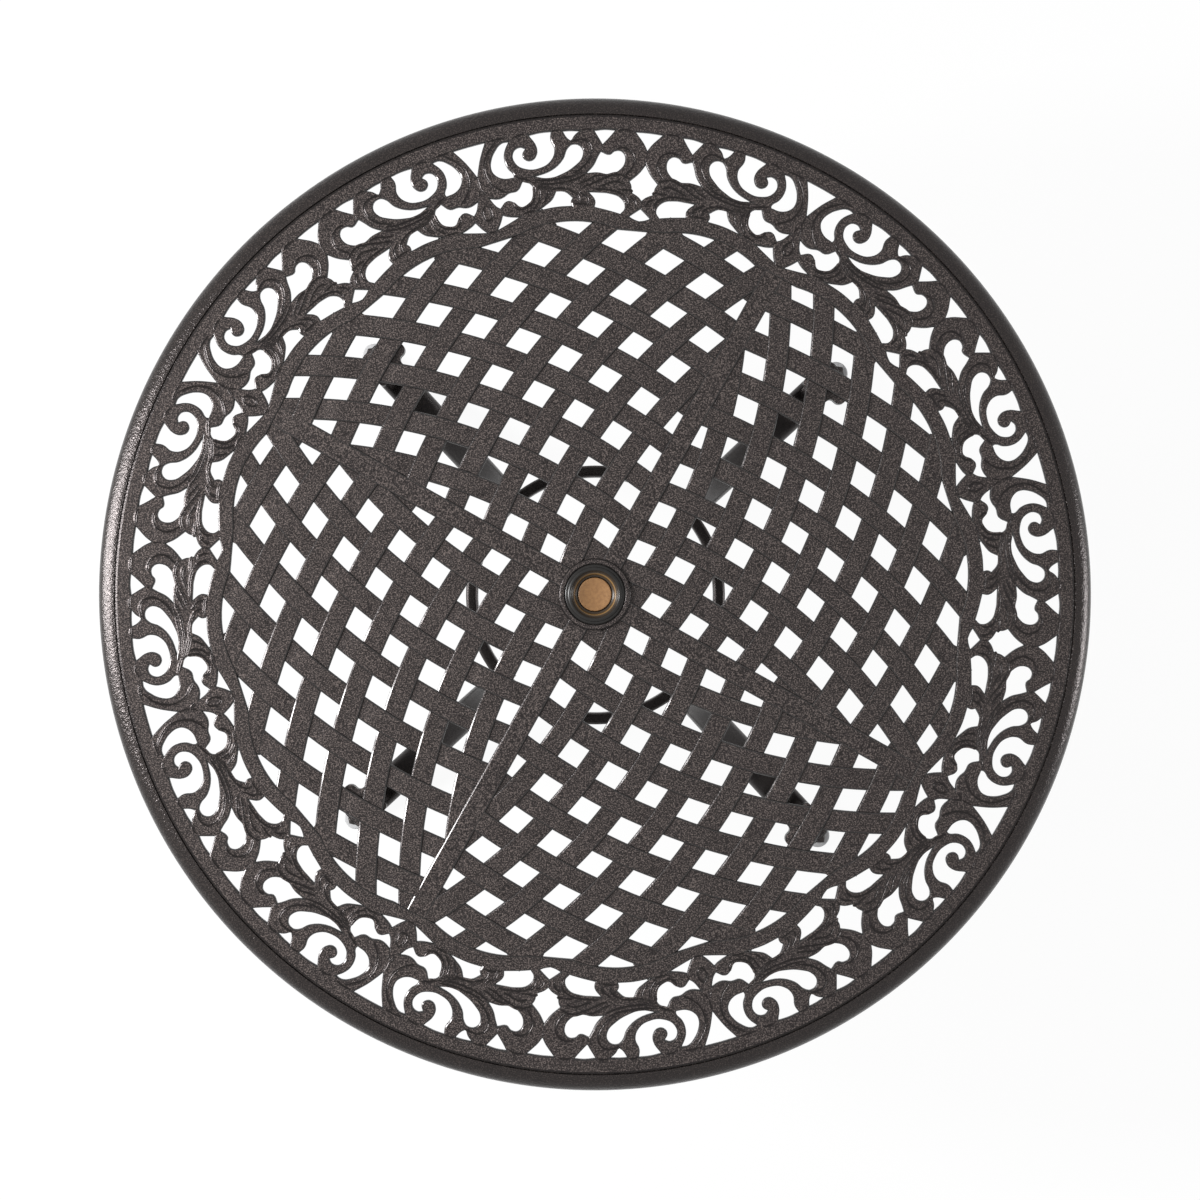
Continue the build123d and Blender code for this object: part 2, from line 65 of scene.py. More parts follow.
def pick(*pieces):
    clearSelection()
    for piece in pieces:
        piece.select_set(True)
    bpy.context.view_layer.objects.active = pieces[0]


def settle(piece, name, sharp=35):
    pick(piece)
    piece.name = name
    bpy.ops.object.transform_apply(location=True, rotation=True, scale=True)
    bpy.ops.object.mode_set(mode="EDIT")
    bpy.ops.mesh.select_all(action="SELECT")
    bpy.ops.mesh.remove_doubles(threshold=mergeWithin)
    bpy.ops.mesh.dissolve_degenerate(threshold=mergeWithin)
    bpy.ops.mesh.delete_loose(use_verts=True, use_edges=True, use_faces=False)
    bpy.ops.mesh.select_all(action="SELECT")
    bpy.ops.mesh.normals_make_consistent(inside=False)
    bpy.ops.object.mode_set(mode="OBJECT")
    bpy.ops.object.shade_smooth_by_angle(angle=radians(sharp))
    return piece


def joinAll(pieces):
    pick(*pieces)
    bpy.ops.object.join()
    return bpy.context.object


def turned(point, turn):
    return (point[0] * cos(turn) - point[1] * sin(turn), point[0] * sin(turn) + point[1] * cos(turn))


def copyTurned(piece, turn):
    twin = piece.copy()
    twin.data = piece.data.copy()  # each copy has its own mesh
    bpy.context.collection.objects.link(twin)
    for vertex in twin.data.vertices:
        vertex.co.x, vertex.co.y = turned(vertex.co, turn)
    return twin


def softCorners(outline, steps=4):
    points = []  # outline: (across, height, corner radius) in mm
    count = len(outline)
    for i in range(count):
        x, y, radius = outline[i]
        if radius <= 0:
            points.append((x, y))
            continue
        ax, ay = outline[i - 1][0] - x, outline[i - 1][1] - y
        bx, by = outline[(i + 1) % count][0] - x, outline[(i + 1) % count][1] - y
        la, lb = hypot(ax, ay), hypot(bx, by)
        ax, ay, bx, by = ax / la, ay / la, bx / lb, by / lb
        half = acos(max(-1, min(1, ax * bx + ay * by))) / 2
        reach = radius / sin(half)
        mx, my = (ax + bx) / hypot(ax + bx, ay + by), (ay + by) / hypot(ax + bx, ay + by)
        cx, cy = x + mx * reach, y + my * reach
        run = reach * cos(half)
        start = atan2(y + ay * run - cy, x + ax * run - cx)
        end = atan2(y + by * run - cy, x + bx * run - cx)
        sweep = (end - start + pi) % (2 * pi) - pi
        for s in range(steps + 1):
            angle = start + sweep * s / steps
            points.append((cx + radius * cos(angle), cy + radius * sin(angle)))
    return points


def turnProfile(name, outline, steps, sharp=35):
    clearSelection()
    bpy.ops.mesh.primitive_circle_add(vertices=len(outline))
    piece = bpy.context.object
    for vertex, (across, height) in zip(piece.data.vertices, outline):
        vertex.co = (across * mm, 0, height * mm)
    bpy.ops.object.mode_set(mode="EDIT")
    bpy.ops.mesh.select_all(action="SELECT")
    bpy.ops.mesh.spin(steps=steps, angle=2 * pi, center=(0, 0, 0), axis=(0, 0, 1))
    bpy.ops.object.mode_set(mode="OBJECT")
    return settle(piece, name, sharp)


def moveOut(piece, across):
    for vertex in piece.data.vertices:
        vertex.co.x += across * mm
    return piece


def addPolyLoop(shape, points):
    spline = shape.splines.new("POLY")
    spline.points.add(len(points) - 1)
    spline.use_cyclic_u = True
    for knot, (x, y) in zip(spline.points, points):
        knot.co = (x * mm, y * mm, 0, 1)


def plateShape(name, thickness, edge):  # a filled outline with rounded edges
    shape = bpy.data.curves.new(name, "CURVE")
    shape.dimensions = "2D"
    shape.fill_mode = "BOTH"
    shape.extrude = (thickness / 2 - edge) * mm
    shape.bevel_depth = edge * mm
    shape.bevel_resolution = 1
    shape.offset = -edge * mm
    return shape


def sectionLoop(name, points):
    shape = bpy.data.curves.new(name, "CURVE")
    shape.dimensions = "2D"
    addPolyLoop(shape, points)
    section = bpy.data.objects.new(name, shape)
    bpy.context.collection.objects.link(section)
    return section


def sweptShape(name, section):  # a section drawn along the splines that are added to the shape
    shape = bpy.data.curves.new(name, "CURVE")
    shape.dimensions = "3D"
    shape.twist_mode = "Z_UP"
    shape.bevel_mode = "OBJECT"
    shape.bevel_object = section
    shape.use_fill_caps = True
    return shape


def meshOf(shape, sharp, height=0, turn=0):
    name = shape.name
    piece = bpy.data.objects.new(name, shape)
    bpy.context.collection.objects.link(piece)
    piece.location.z = height * mm
    piece.rotation_euler.z = turn
    pick(piece)
    bpy.ops.object.convert(target="MESH")
    return settle(bpy.context.object, name, sharp)


def finishPiece(piece, body, slot, finish, *nodes):
    piece.data.materials.clear()
    piece.data.materials.append(finish)
    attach(piece, body)
    if nodes:
        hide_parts(*nodes)
    return piece


# finishes
def newFinish(name):
    finish = bpy.data.materials.new(name)
    finish.use_nodes = True
    nodes, links = finish.node_tree.nodes, finish.node_tree.links
    return finish, nodes, links, nodes["Principled BSDF"]


def rampOf(nodes, stops):
    ramp = nodes.new("ShaderNodeValToRGB")
    while len(ramp.color_ramp.elements) < len(stops):
        ramp.color_ramp.elements.new(0.5)
    for element, (place, colour) in zip(ramp.color_ramp.elements, stops):
        element.position = place
        element.color = (*colour, 1)
    return ramp


# the slope keys set a painted shade: a darker base colour on walls and sloping edges
bronzeLook = {
    "dark": (0.006, 0.005, 0.0049), "middle": (0.025, 0.0212, 0.0208), "light": (0.128, 0.1053, 0.0965),
    "fleckScale": 640, "fleckDetail": 1.5, "fleckStops": (0.38, 0.51, 0.66),
    "cloudScale": 11, "cloudDetail": 2, "cloudShade": (0.82, 1.16),
    "pitScale": 420, "pitShare": 0.8, "pitDepth": 0.42, "skinHeight": 0.7,  # mm
    "paintedWallShade": 0.1, "slopeFrom": 0.92, "slopeTo": 0.985, "glossFrom": 0.3, "glossTo": 0.7,
    "roughLow": 0.17, "roughHigh": 0.34, "specular": 0.28, "sheen": (1, 0.9, 0.89),
    "edgeShine": 0, "edgeRough": 0.14, "edgeStops": (0.83, 0.87, 0.935, 0.965),
}
edgeLook = dict(bronzeLook, edgeShine=0.6)
# a darker copy of the bronze coat for the rim, painted shade, with more painted shade on its outward slope
rimShadeLook = dict(bronzeLook, dark=(0.0025, 0.002, 0.0019), middle=(0.0062, 0.005, 0.0047), slopeFrom=0.3,
                light=(0.034, 0.0275, 0.0245), pitScale=300, pitDepth=0.6, paintedWallShade=0.6,
                roughLow=0.15, roughHigh=0.28, specular=0.38)
# a darker copy of the bronze coat for the legs, flanges and hoop: painted shade from the top above them
legShadeLook = dict(bronzeLook, dark=(0.004, 0.0035, 0.0034), middle=(0.0085, 0.0074, 0.0071), slopeFrom=0.3,
               light=(0.024, 0.0205, 0.0185), paintedWallShade=1.0, pitDepth=0.12, roughLow=0.28, roughHigh=0.46,
               specular=0.36)


def bronzeFinish(name, look):
    finish, nodes, links, shader = newFinish(name)
    place = nodes.new("ShaderNodeTexCoord")
    flecks = nodes.new("ShaderNodeTexNoise")  # light flecks in the powder coat
    flecks.inputs["Scale"].default_value = look["fleckScale"]
    flecks.inputs["Detail"].default_value = look["fleckDetail"]
    links.new(place.outputs["Object"], flecks.inputs["Vector"])
    ramp = rampOf(nodes, list(zip(look["fleckStops"], (look["dark"], look["middle"], look["light"]))))
    links.new(flecks.outputs["Fac"], ramp.inputs["Fac"])
    clouds = nodes.new("ShaderNodeTexNoise")  # slow unevenness of the coat
    clouds.inputs["Scale"].default_value = look["cloudScale"]
    clouds.inputs["Detail"].default_value = look["cloudDetail"]
    links.new(place.outputs["Object"], clouds.inputs["Vector"])
    cloudRange = nodes.new("ShaderNodeMapRange")
    cloudRange.inputs["To Min"].default_value, cloudRange.inputs["To Max"].default_value = look["cloudShade"]
    links.new(clouds.outputs["Fac"], cloudRange.inputs["Value"])
    lie = nodes.new("ShaderNodeNewGeometry")  # painted shade: walls and sloping edges get a darker base colour than tops
    split = nodes.new("ShaderNodeSeparateXYZ")
    links.new(lie.outputs["Normal"], split.inputs["Vector"])
    slope = nodes.new("ShaderNodeMapRange")
    slope.inputs["From Min"].default_value = look["slopeFrom"]
    slope.inputs["From Max"].default_value = look["slopeTo"]
    slope.inputs["To Min"].default_value = look["paintedWallShade"]
    lift = nodes.new("ShaderNodeMath")
    lift.operation = "ABSOLUTE"
    links.new(split.outputs["Z"], lift.inputs[0])
    links.new(lift.outputs[0], slope.inputs["Value"])
    shade = nodes.new("ShaderNodeMath")
    shade.operation = "MULTIPLY"
    links.new(cloudRange.outputs["Result"], shade.inputs[0])
    links.new(slope.outputs["Result"], shade.inputs[1])
    tint = nodes.new("ShaderNodeVectorMath")
    tint.operation = "SCALE"
    links.new(ramp.outputs["Color"], tint.inputs[0])
    links.new(shade.outputs[0], tint.inputs["Scale"])
    links.new(tint.outputs["Vector"], shader.inputs["Base Color"])
    gloss = nodes.new("ShaderNodeMapRange")
    gloss.inputs["From Min"].default_value = look["glossFrom"]
    gloss.inputs["From Max"].default_value = look["glossTo"]
    gloss.inputs["To Min"].default_value = look["roughHigh"]
    gloss.inputs["To Max"].default_value = look["roughLow"]
    links.new(flecks.outputs["Fac"], gloss.inputs["Value"])
    links.new(gloss.outputs["Result"], shader.inputs["Roughness"])
    pits = nodes.new("ShaderNodeTexVoronoi")  # hammered skin
    pits.feature = "SMOOTH_F1"
    pits.inputs["Scale"].default_value = look["pitScale"]
    links.new(place.outputs["Object"], pits.inputs["Vector"])
    height = nodes.new("ShaderNodeMath")
    height.operation = "MULTIPLY_ADD"
    links.new(pits.outputs["Distance"], height.inputs[0])
    height.inputs[1].default_value = look["pitShare"]
    links.new(flecks.outputs["Fac"], height.inputs[2])
    bump = nodes.new("ShaderNodeBump")
    bump.inputs["Strength"].default_value = look["pitDepth"]
    bump.inputs["Distance"].default_value = look["skinHeight"] * mm
    links.new(height.outputs[0], bump.inputs["Height"])
    links.new(bump.outputs["Normal"], shader.inputs["Normal"])
    shader.inputs["Specular IOR Level"].default_value = look["specular"]
    shader.inputs["Specular Tint"].default_value = (*look["sheen"], 1)
    if look["edgeShine"]:  # the coat pools smooth on rounded edges
        full, none = (look["edgeShine"],) * 3, (0, 0, 0)
        edges = rampOf(nodes, list(zip(look["edgeStops"], (none, full, full, none))))
        links.new(lift.outputs[0], edges.inputs["Fac"])
        links.new(edges.outputs["Color"], shader.inputs["Coat Weight"])
        shader.inputs["Coat Roughness"].default_value = look["edgeRough"]
    return finish


blackLook = {"low": (0.004, 0.0037, 0.0036), "high": (0.009, 0.0084, 0.008), "scale": 160,
             "rough": (0.28, 0.36), "depth": 0.05, "metal": 0, "specular": 0.28}
tanLook = {"low": (0.212, 0.104, 0.038), "high": (0.29, 0.15, 0.057), "scale": 240, "rough": (0.3, 0.45),
           "depth": 0.12, "metal": 0, "specular": 0.5}
zincLook = {"low": (0.4, 0.4, 0.39), "high": (0.58, 0.58, 0.57), "scale": 900, "rough": (0.28, 0.45),
            "depth": 0.1, "metal": 1, "specular": 0.5}
brassLook = {"low": (0.5, 0.36, 0.14), "high": (0.66, 0.5, 0.23), "scale": 1200, "rough": (0.25, 0.4),
             "depth": 0.1, "metal": 1, "specular": 0.5}
greyLook = {"low": (0.33, 0.33, 0.335), "high": (0.46, 0.46, 0.465), "scale": 500, "rough": (0.5, 0.65),
            "depth": 0.15, "metal": 0, "specular": 0.5}
speck = {"detail": 4, "lowAt": 0.3, "highAt": 0.7, "height": 0.3}  # mm


def speckFinish(name, look):
    finish, nodes, links, shader = newFinish(name)
    place = nodes.new("ShaderNodeTexCoord")
    grain = nodes.new("ShaderNodeTexNoise")
    grain.inputs["Scale"].default_value = look["scale"]
    grain.inputs["Detail"].default_value = speck["detail"]
    links.new(place.outputs["Object"], grain.inputs["Vector"])
    ramp = rampOf(nodes, [(speck["lowAt"], look["low"]), (speck["highAt"], look["high"])])
    links.new(grain.outputs["Fac"], ramp.inputs["Fac"])
    links.new(ramp.outputs["Color"], shader.inputs["Base Color"])
    gloss = nodes.new("ShaderNodeMapRange")
    gloss.inputs["To Min"].default_value, gloss.inputs["To Max"].default_value = look["rough"]
    links.new(grain.outputs["Fac"], gloss.inputs["Value"])
    links.new(gloss.outputs["Result"], shader.inputs["Roughness"])
    bump = nodes.new("ShaderNodeBump")
    bump.inputs["Strength"].default_value = look["depth"]
    bump.inputs["Distance"].default_value = speck["height"] * mm
    links.new(grain.outputs["Fac"], bump.inputs["Height"])
    links.new(bump.outputs["Normal"], shader.inputs["Normal"])
    shader.inputs["Metallic"].default_value = look["metal"]
    shader.inputs["Specular IOR Level"].default_value = look["specular"]
    return finish


# painted reflection of the tan plug: brown and gold rings added to the grommet's base colour in its throat
throatReflectionLook = {"reach": 40, "low": 725.5, "high": 726.2,  # mm, with the rings as shares of the reach
              "rings": [(0.53, (0.016, 0.01, 0.005)), (0.6, (0.035, 0.02, 0.008)),
                        (0.632, (0.2, 0.112, 0.036)), (0.657, (0.03, 0.018, 0.008)),
                        (0.74, (0.006, 0.0055, 0.005))]}


def paintedThroatReflection(finish):
    nodes, links = finish.node_tree.nodes, finish.node_tree.links
    place = nodes.new("ShaderNodeTexCoord")
    split = nodes.new("ShaderNodeSeparateXYZ")
    links.new(place.outputs["Object"], split.inputs["Vector"])
    flat = nodes.new("ShaderNodeCombineXYZ")
    links.new(split.outputs["X"], flat.inputs["X"])
    links.new(split.outputs["Y"], flat.inputs["Y"])
    away = nodes.new("ShaderNodeVectorMath")
    away.operation = "LENGTH"
    links.new(flat.outputs["Vector"], away.inputs[0])
    reach = nodes.new("ShaderNodeMath")
    reach.operation = "DIVIDE"
    reach.inputs[1].default_value = throatReflectionLook["reach"] * mm
    links.new(away.outputs["Value"], reach.inputs[0])
    rings = rampOf(nodes, throatReflectionLook["rings"])
    links.new(reach.outputs[0], rings.inputs["Fac"])
    above = nodes.new("ShaderNodeMapRange")  # in the throat only, not down the sleeve
    above.inputs["From Min"].default_value = throatReflectionLook["low"] * mm
    above.inputs["From Max"].default_value = throatReflectionLook["high"] * mm
    links.new(split.outputs["Z"], above.inputs["Value"])
    inside = nodes.new("ShaderNodeVectorMath")
    inside.operation = "SCALE"
    links.new(rings.outputs["Color"], inside.inputs[0])
    links.new(above.outputs["Result"], inside.inputs["Scale"])
    shader = nodes["Principled BSDF"]
    grain = shader.inputs["Base Color"].links[0].from_socket
    both = nodes.new("ShaderNodeVectorMath")
    both.operation = "ADD"
    links.new(inside.outputs["Vector"], both.inputs[0])
    links.new(grain, both.inputs[1])
    links.new(both.outputs["Vector"], shader.inputs["Base Color"])


castBronze = bronzeFinish("hammered bronze coat", bronzeLook)
edgeBronze = bronzeFinish("hammered bronze coat with smooth edges", edgeLook)
rimShadeBronze = bronzeFinish("hammered bronze coat on the rim", rimShadeLook)
legShadeBronze = bronzeFinish("hammered bronze coat on the legs", legShadeLook)
blackGloss = speckFinish("black gloss moulding", blackLook)
paintedThroatReflection(blackGloss)
tanPlastic = speckFinish("tan moulding", tanLook)
zincPlate = speckFinish("zinc plate", zincLook)
turnedBrass = speckFinish("turned brass", brassLook)
greyPlastic = speckFinish("grey glide moulding", greyLook)
print("finishes mixed")


# rolled rim
rim = {"radius": 610, "inner": 586.6, "top": 730, "rollHeight": 22, "drop": 36, "wall": 5,
       "ledgeInner": 576, "plateBottom": 722, "ledgeBottom": 717, "step": 1.0, "steps": 288,
       "rollSteps": 16, "edge": 1.5, "edgeBow": 0.45, "chamfer": 1,
       "lip": [(0, 1.6), (0.2, 1.1)]}  # outwards and down


def makeRim():
    outline = [(rim["ledgeInner"], rim["plateBottom"]), (rim["inner"], rim["plateBottom"])]
    outline += [(rim["inner"] + across, rim["top"] - down) for across, down in rim["lip"]]
    start = rim["inner"] + rim["step"]
    for s in range(rim["rollSteps"] + 1):  # quarter of an ellipse, upright at the skirt
        angle = pi / 2 * (1 - s / rim["rollSteps"])
        outline.append((start + (rim["radius"] - start) * cos(angle),
                        rim["top"] - rim["rollHeight"] * (1 - sin(angle))))
    bottom = rim["top"] - rim["drop"]
    inside = rim["radius"] - rim["wall"]
    outline += [(rim["radius"], bottom + rim["edge"]),
                (rim["radius"] - rim["edgeBow"], bottom + rim["edgeBow"]),
                (rim["radius"] - rim["edge"], bottom), (inside + rim["chamfer"], bottom),
                (inside, bottom + rim["chamfer"]), (inside, rim["ledgeBottom"]),
                (rim["ledgeInner"] + rim["chamfer"], rim["ledgeBottom"]),
                (rim["ledgeInner"], rim["ledgeBottom"] + rim["chamfer"])]
    return turnProfile("rolledRim", outline, rim["steps"], sharp=40)


rolledRim = finishPiece(makeRim(), "table", "bronze_casting", rimShadeBronze, "top_rim")
print("rim turned", len(rolledRim.data.polygons))

# sloping edge of the flat band, beside the roll
bandEdge = {"inner": 580, "crest": 583.6, "outer": 586.5, "low": 724, "high": 730.02, "fall": 1.2}
bandOutline = [(bandEdge["inner"], bandEdge["low"]), (bandEdge["outer"], bandEdge["low"]),
               (bandEdge["outer"], bandEdge["high"] - bandEdge["fall"]),
               (bandEdge["crest"], bandEdge["high"]), (bandEdge["inner"], bandEdge["high"])]
bandPiece = turnProfile("bandEdge", bandOutline, rim["steps"], sharp=15)
finishPiece(bandPiece, "table", "bronze_casting", castBronze)


# scroll border: flat band, pierced scrolls and scalloped frame
border = {"outer": 583, "low": 722, "high": 730, "edge": 1.7, "motifs": 8,
          "lobeCentre": 320, "lobeRadius": 137.4, "lobes": 16, "lobeSteps": 18, "bandSteps": 192,
          "curveSteps": 4}
# half a motif, as (across, outwards) from a bud's axis, sharp at both ends of each curve
scrollOpenings = [
    [[(48, 561), (40, 561.6), (30, 555), (22, 544.5), (19.3, 535), (21, 527.5), (30, 519.5), (42.5, 517.3)],
     [(42.5, 517.3), (43.4, 520.5), (38.6, 530), (37.2, 541), (40, 550.5), (48, 561)]],
    [[(74.5, 561.8), (88, 561.3), (101.5, 559)],
     [(101.5, 559), (98.4, 550.5), (99.8, 537), (92, 525), (77, 520), (60, 523.3), (49.5, 533.5),
      (50.5, 546.8), (59.5, 550.8), (65.5, 547.3)],
     [(65.5, 547.3), (60.2, 541), (62, 534.6), (69, 531.4), (76.5, 535.3), (80, 545), (74.5, 561.8)]],
    [[(115.8, 555.6), (125, 553.6), (135.3, 550.3)],
     [(135.3, 550.3), (128, 547), (122.5, 541.5)],
     [(122.5, 541.5), (118.8, 546.3), (115.8, 555.6)]],
    [[(68, 511.4), (90, 513.5), (107, 522.6), (116.5, 534.3), (124, 536.8), (132.3, 530.5),
      (130.5, 519.5), (117, 510.4), (100, 505.6), (84, 505), (68, 511.4)]],
    [[(153.3, 545.8), (166, 543.6), (178, 539.3)],
     [(178, 539.3), (169, 533.4), (158.5, 527.3)],
     [(158.5, 527.3), (156.3, 535.5), (153.3, 545.8)]],
    [[(130, 498.5), (143, 495.8), (156, 490), (168, 490.6), (179, 499.5), (179, 511.5), (171, 515),
      (163.5, 512.6), (154, 519)],
     [(154, 519), (149, 514), (141, 505.3), (130, 498.5)]],
    [[(7.5, 500.2), (17, 497), (24, 497.4), (32, 500.3), (43, 500.6), (52, 509.6)],
     [(52, 509.6), (61, 503), (60, 491), (52, 481.6), (42, 480.2), (34.8, 488), (27, 491.7), (16.8, 485.2)],
     [(16.8, 485.2), (13, 489), (7.5, 500.2)]],
    [[(6.9, 460.8), (12.5, 468), (17.5, 476.2)],
     [(17.5, 476.2), (22.5, 473.3), (36, 468.6)],
     [(36, 468.6), (20, 464.2), (6.9, 460.8)]],
    [[(61.5, 470.4), (72, 474.4), (81, 478.8), (88.5, 487.3)],
     [(88.5, 487.3), (98, 484), (105.3, 474.2)],
     [(105.3, 474.2), (101.9, 470), (101.6, 464.9)],
     [(101.6, 464.9), (83, 468.8), (61.5, 470.4)]],
    [[(126.6, 475.4), (137, 472), (150, 467), (162, 457.3), (163, 444.5), (156, 439.4)],
     [(156, 439.4), (146, 445.8), (128.3, 456)],
     [(128.3, 456), (131.2, 463), (126.6, 475.4)]],
]
budOpening = [[(-20, 567.8), (0, 568.2), (20, 567.8)],
              [(20, 567.8), (10, 552), (4.2, 540), (0, 530)],
              [(0, 530), (-4.2, 540), (-10, 552), (-20, 567.8)]]
starOpenings = [
    [[(-16.6, 567), (0, 567.6), (16.6, 567)],
     [(16.6, 567), (10.5, 560.4), (4.6, 553.5), (0, 546)],
     [(0, 546), (-4.6, 553.5), (-10.5, 560.4), (-16.6, 567)]],
    [[(0, 484.4), (4.3, 488.5), (13.6, 493.3)],
     [(13.6, 493.3), (14.2, 500.7), (17.1, 506.5)],
     [(17.1, 506.5), (6.1, 518.2), (0, 528.2)],
     [(0, 528.2), (-6.1, 518.2), (-17.1, 506.5)],
     [(-17.1, 506.5), (-14.2, 500.7), (-13.6, 493.3)],
     [(-13.6, 493.3), (-4.3, 488.5), (0, 484.4)]],
    [[(0, 459.2), (6.4, 460.8), (12.7, 463.6)],
     [(12.7, 463.6), (6, 469.3), (0, 474.2)],
     [(0, 474.2), (-6, 469.3), (-12.7, 463.6)],
     [(-12.7, 463.6), (-6.4, 460.8), (0, 459.2)]],
]
creaseLines = [  # creases on half a motif
    [(33, 565), (26.3, 559.6), (20.8, 554.7), (15.9, 548.7), (12.7, 542.6), (11.1, 536.5), (10.8, 530.2),
     (11.7, 523.8), (13.9, 517.5), (17.3, 512.3), (20.8, 508.5), (24.8, 505.1), (29, 501.6)],
    [(0.9, 513.2), (2.2, 509.5), (4.6, 505.4)],
    [(33.8, 487.6), (34, 483.5), (35.2, 480.6), (37.2, 478.3), (40.4, 476.7), (44.4, 476.3), (48.5, 477.1),
     (53.1, 478.8), (57.7, 481.7), (60.6, 485.5), (62.9, 491), (63.9, 496.7), (63.8, 500)],
    [(17.2, 483.6), (18.8, 479.6)],
    [(68.4, 495.6), (68.7, 491), (67.5, 486.3), (65.5, 481.7), (62.3, 478.3), (58.3, 474.8), (55, 473.6)],
    [(78.7, 489.6), (77.8, 486.7), (75.2, 482.7), (72.3, 479.2), (68.8, 476.6)],
    [(45.6, 517), (49, 514.2), (52.5, 512.6), (57.7, 509.2), (62, 506.4)],
    [(24.5, 567.4), (31, 567.3), (38, 566.9), (45, 566.2)],
    [(54.2, 563.6), (61.7, 565), (69, 564.2)],
    [(102.8, 558.6), (108.5, 558.4), (114, 556.8)],
    [(138, 550.6), (142, 550.3), (146, 549.3), (150, 547)],
    [(181, 537), (185.6, 537.2), (189.8, 536), (194, 534.2), (197.5, 532)],
    [(66.8, 507), (72.3, 505), (78.1, 503), (83.9, 501.7), (89.6, 501), (98.9, 500.2), (105.8, 499.7),
     (112.7, 499.3), (118, 500), (124, 500.9)],
    [(62.8, 505), (67.1, 503.2), (70.6, 501.5), (75.2, 499.6), (79.8, 498.2), (83.9, 497.3), (89, 496.4),
     (94.8, 495.6), (101.2, 495), (106.9, 494.5), (112.7, 494.7), (118.5, 495.3), (124.2, 496.2),
     (127.6, 497)],
    [(63.2, 503), (67.7, 500.4), (71.7, 498.2), (75.2, 496.1), (79.2, 494.1), (82.7, 492.5), (86.5, 491.4)],
    [(63.4, 500.2), (68.8, 496.6), (72.9, 494.2), (76.9, 492.2), (80.4, 490.5), (84.2, 489.7), (88.5, 489.6),
     (93, 488.6), (98, 486.8), (103, 485)],
    [(121, 540), (126, 540.2), (131, 539.9), (135.8, 539), (139.4, 536.9), (142.1, 533.9), (143.7, 530),
     (143.6, 525.2), (142.1, 519.8), (139.4, 515.3), (134.9, 511.1), (130.4, 507.9), (125, 505.4),
     (121.4, 504), (116.2, 502.6), (111.8, 501.5)],
    [(117.9, 488.2), (123.7, 488.5), (128.9, 489.3), (133.5, 490.8), (138.1, 491.6), (143.9, 491.1),
     (149, 489.6)],
    [(121.4, 483.5), (126, 483.3), (132.5, 483.7), (138.5, 484.8), (144.8, 485.9), (151.4, 486.7),
     (158, 487.1), (164, 486.7), (168.2, 485.3), (171.2, 483.5), (173.6, 481.4), (176, 479), (178.2, 476.8)],
    [(140, 478.4), (145.4, 478.2), (150.8, 478.7), (156.2, 479), (161, 478.4), (164.6, 476.9), (167.3, 474.8),
     (169.4, 472.4)],
    [(132.2, 477.4), (138.2, 475.4), (144.8, 473.2), (150.8, 470.8), (156.2, 468), (161, 464.6), (164.8, 461),
     (167.6, 456.8), (168.8, 452), (167.9, 447.8), (165.6, 444)],
    [(161, 468.8), (165.8, 466.6), (170.6, 465.1), (174, 463.2)],
    [(172.4, 455.9), (175.4, 453.2), (177.2, 449), (177.5, 444.8), (176, 441.4)],
    [(173.9, 516.5), (177.8, 516.9), (182, 515.6), (185.6, 512.9), (188.9, 509.3), (190.7, 504.8),
     (191, 500.6), (190.1, 495.8), (187.7, 491.6), (184.1, 488), (180.2, 485.6), (176.6, 483.5),
     (173.5, 482)],
    [(156.2, 524.2), (155.9, 520.4)],
    [(103, 484.6), (105.8, 482.1), (109.2, 479.2), (111.8, 475.8), (113, 472.3), (112.6, 468.8),
     (111.8, 465.6)],
    [(115.6, 479.6), (117.3, 476.3), (120.2, 472.9), (122.5, 469.4), (123.1, 466), (122.2, 462.5),
     (121.2, 460)],
    [(105.2, 465.6), (110.4, 464.6), (113.9, 463.3), (118.5, 461.6), (124.8, 458.4)],
    [(41.5, 470.4), (47, 470.9), (52.5, 471), (57, 470.8)],
]
axisLines = [  # creases on a bud's own axis
    [(0, 527.5), (0, 521), (0, 514.6)],
    [(0, 493), (3.2, 489.9), (5, 485), (5.2, 481.3), (4.2, 477.4), (2.6, 475.2), (0, 474.2),
     (-2.6, 475.2), (-4.2, 477.4), (-5.2, 481.3), (-5, 485), (-3.2, 489.9), (0, 493)],
    [(-4.2, 459.9), (0, 459), (4.2, 459.9)],
]
starLines = [  # and on the axis between two motifs
    [(0, 543.2), (0, 534)],
    [(0, 483), (0, 476.6)],
    [(-12, 493.4), (-16, 495), (-20, 495.4)],
    [(12, 493.4), (16, 495), (20, 495.4)],
]
crease = {"base": 730.02, "steps": 2, "taper": 0.5,
          "section": [(-3.2, -1), (3.2, -1), (3.2, 0), (2.1, 0.19), (1.1, 0.5), (0, -0.01),
                      (-1.1, 0.5), (-2.1, 0.19), (-3.2, 0)]}


def addSharpLoop(shape, curves, flip, turn):
    corners = []
    for curve in curves:
        for i in range(len(curve) - 1):
            corners.append((curve[i], i == 0))
    spline = shape.splines.new("BEZIER")
    spline.bezier_points.add(len(corners) - 1)
    spline.use_cyclic_u = True
    for knot, ((x, y), sharp) in zip(spline.bezier_points, corners):
        x, y = turned((-x if flip else x, y), turn)
        knot.co = (x * mm, y * mm, 0)
        knot.handle_left_type = "VECTOR" if sharp else "AUTO"
        knot.handle_right_type = "VECTOR" if sharp else "AUTO"


def lobeLoop(radius):
    points = []
    step = 2 * pi / border["lobes"]
    half = asin(border["lobeCentre"] * sin(step / 2) / radius)  # of the arc that one lobe shows
    for lobe in range(border["lobes"]):
        middle = (lobe + 0.5) * step
        cx, cy = border["lobeCentre"] * cos(middle), border["lobeCentre"] * sin(middle)
        for s in range(border["lobeSteps"]):
            angle = middle - half + 2 * half * s / border["lobeSteps"]
            points.append((cx + radius * cos(angle), cy + radius * sin(angle)))
    return points


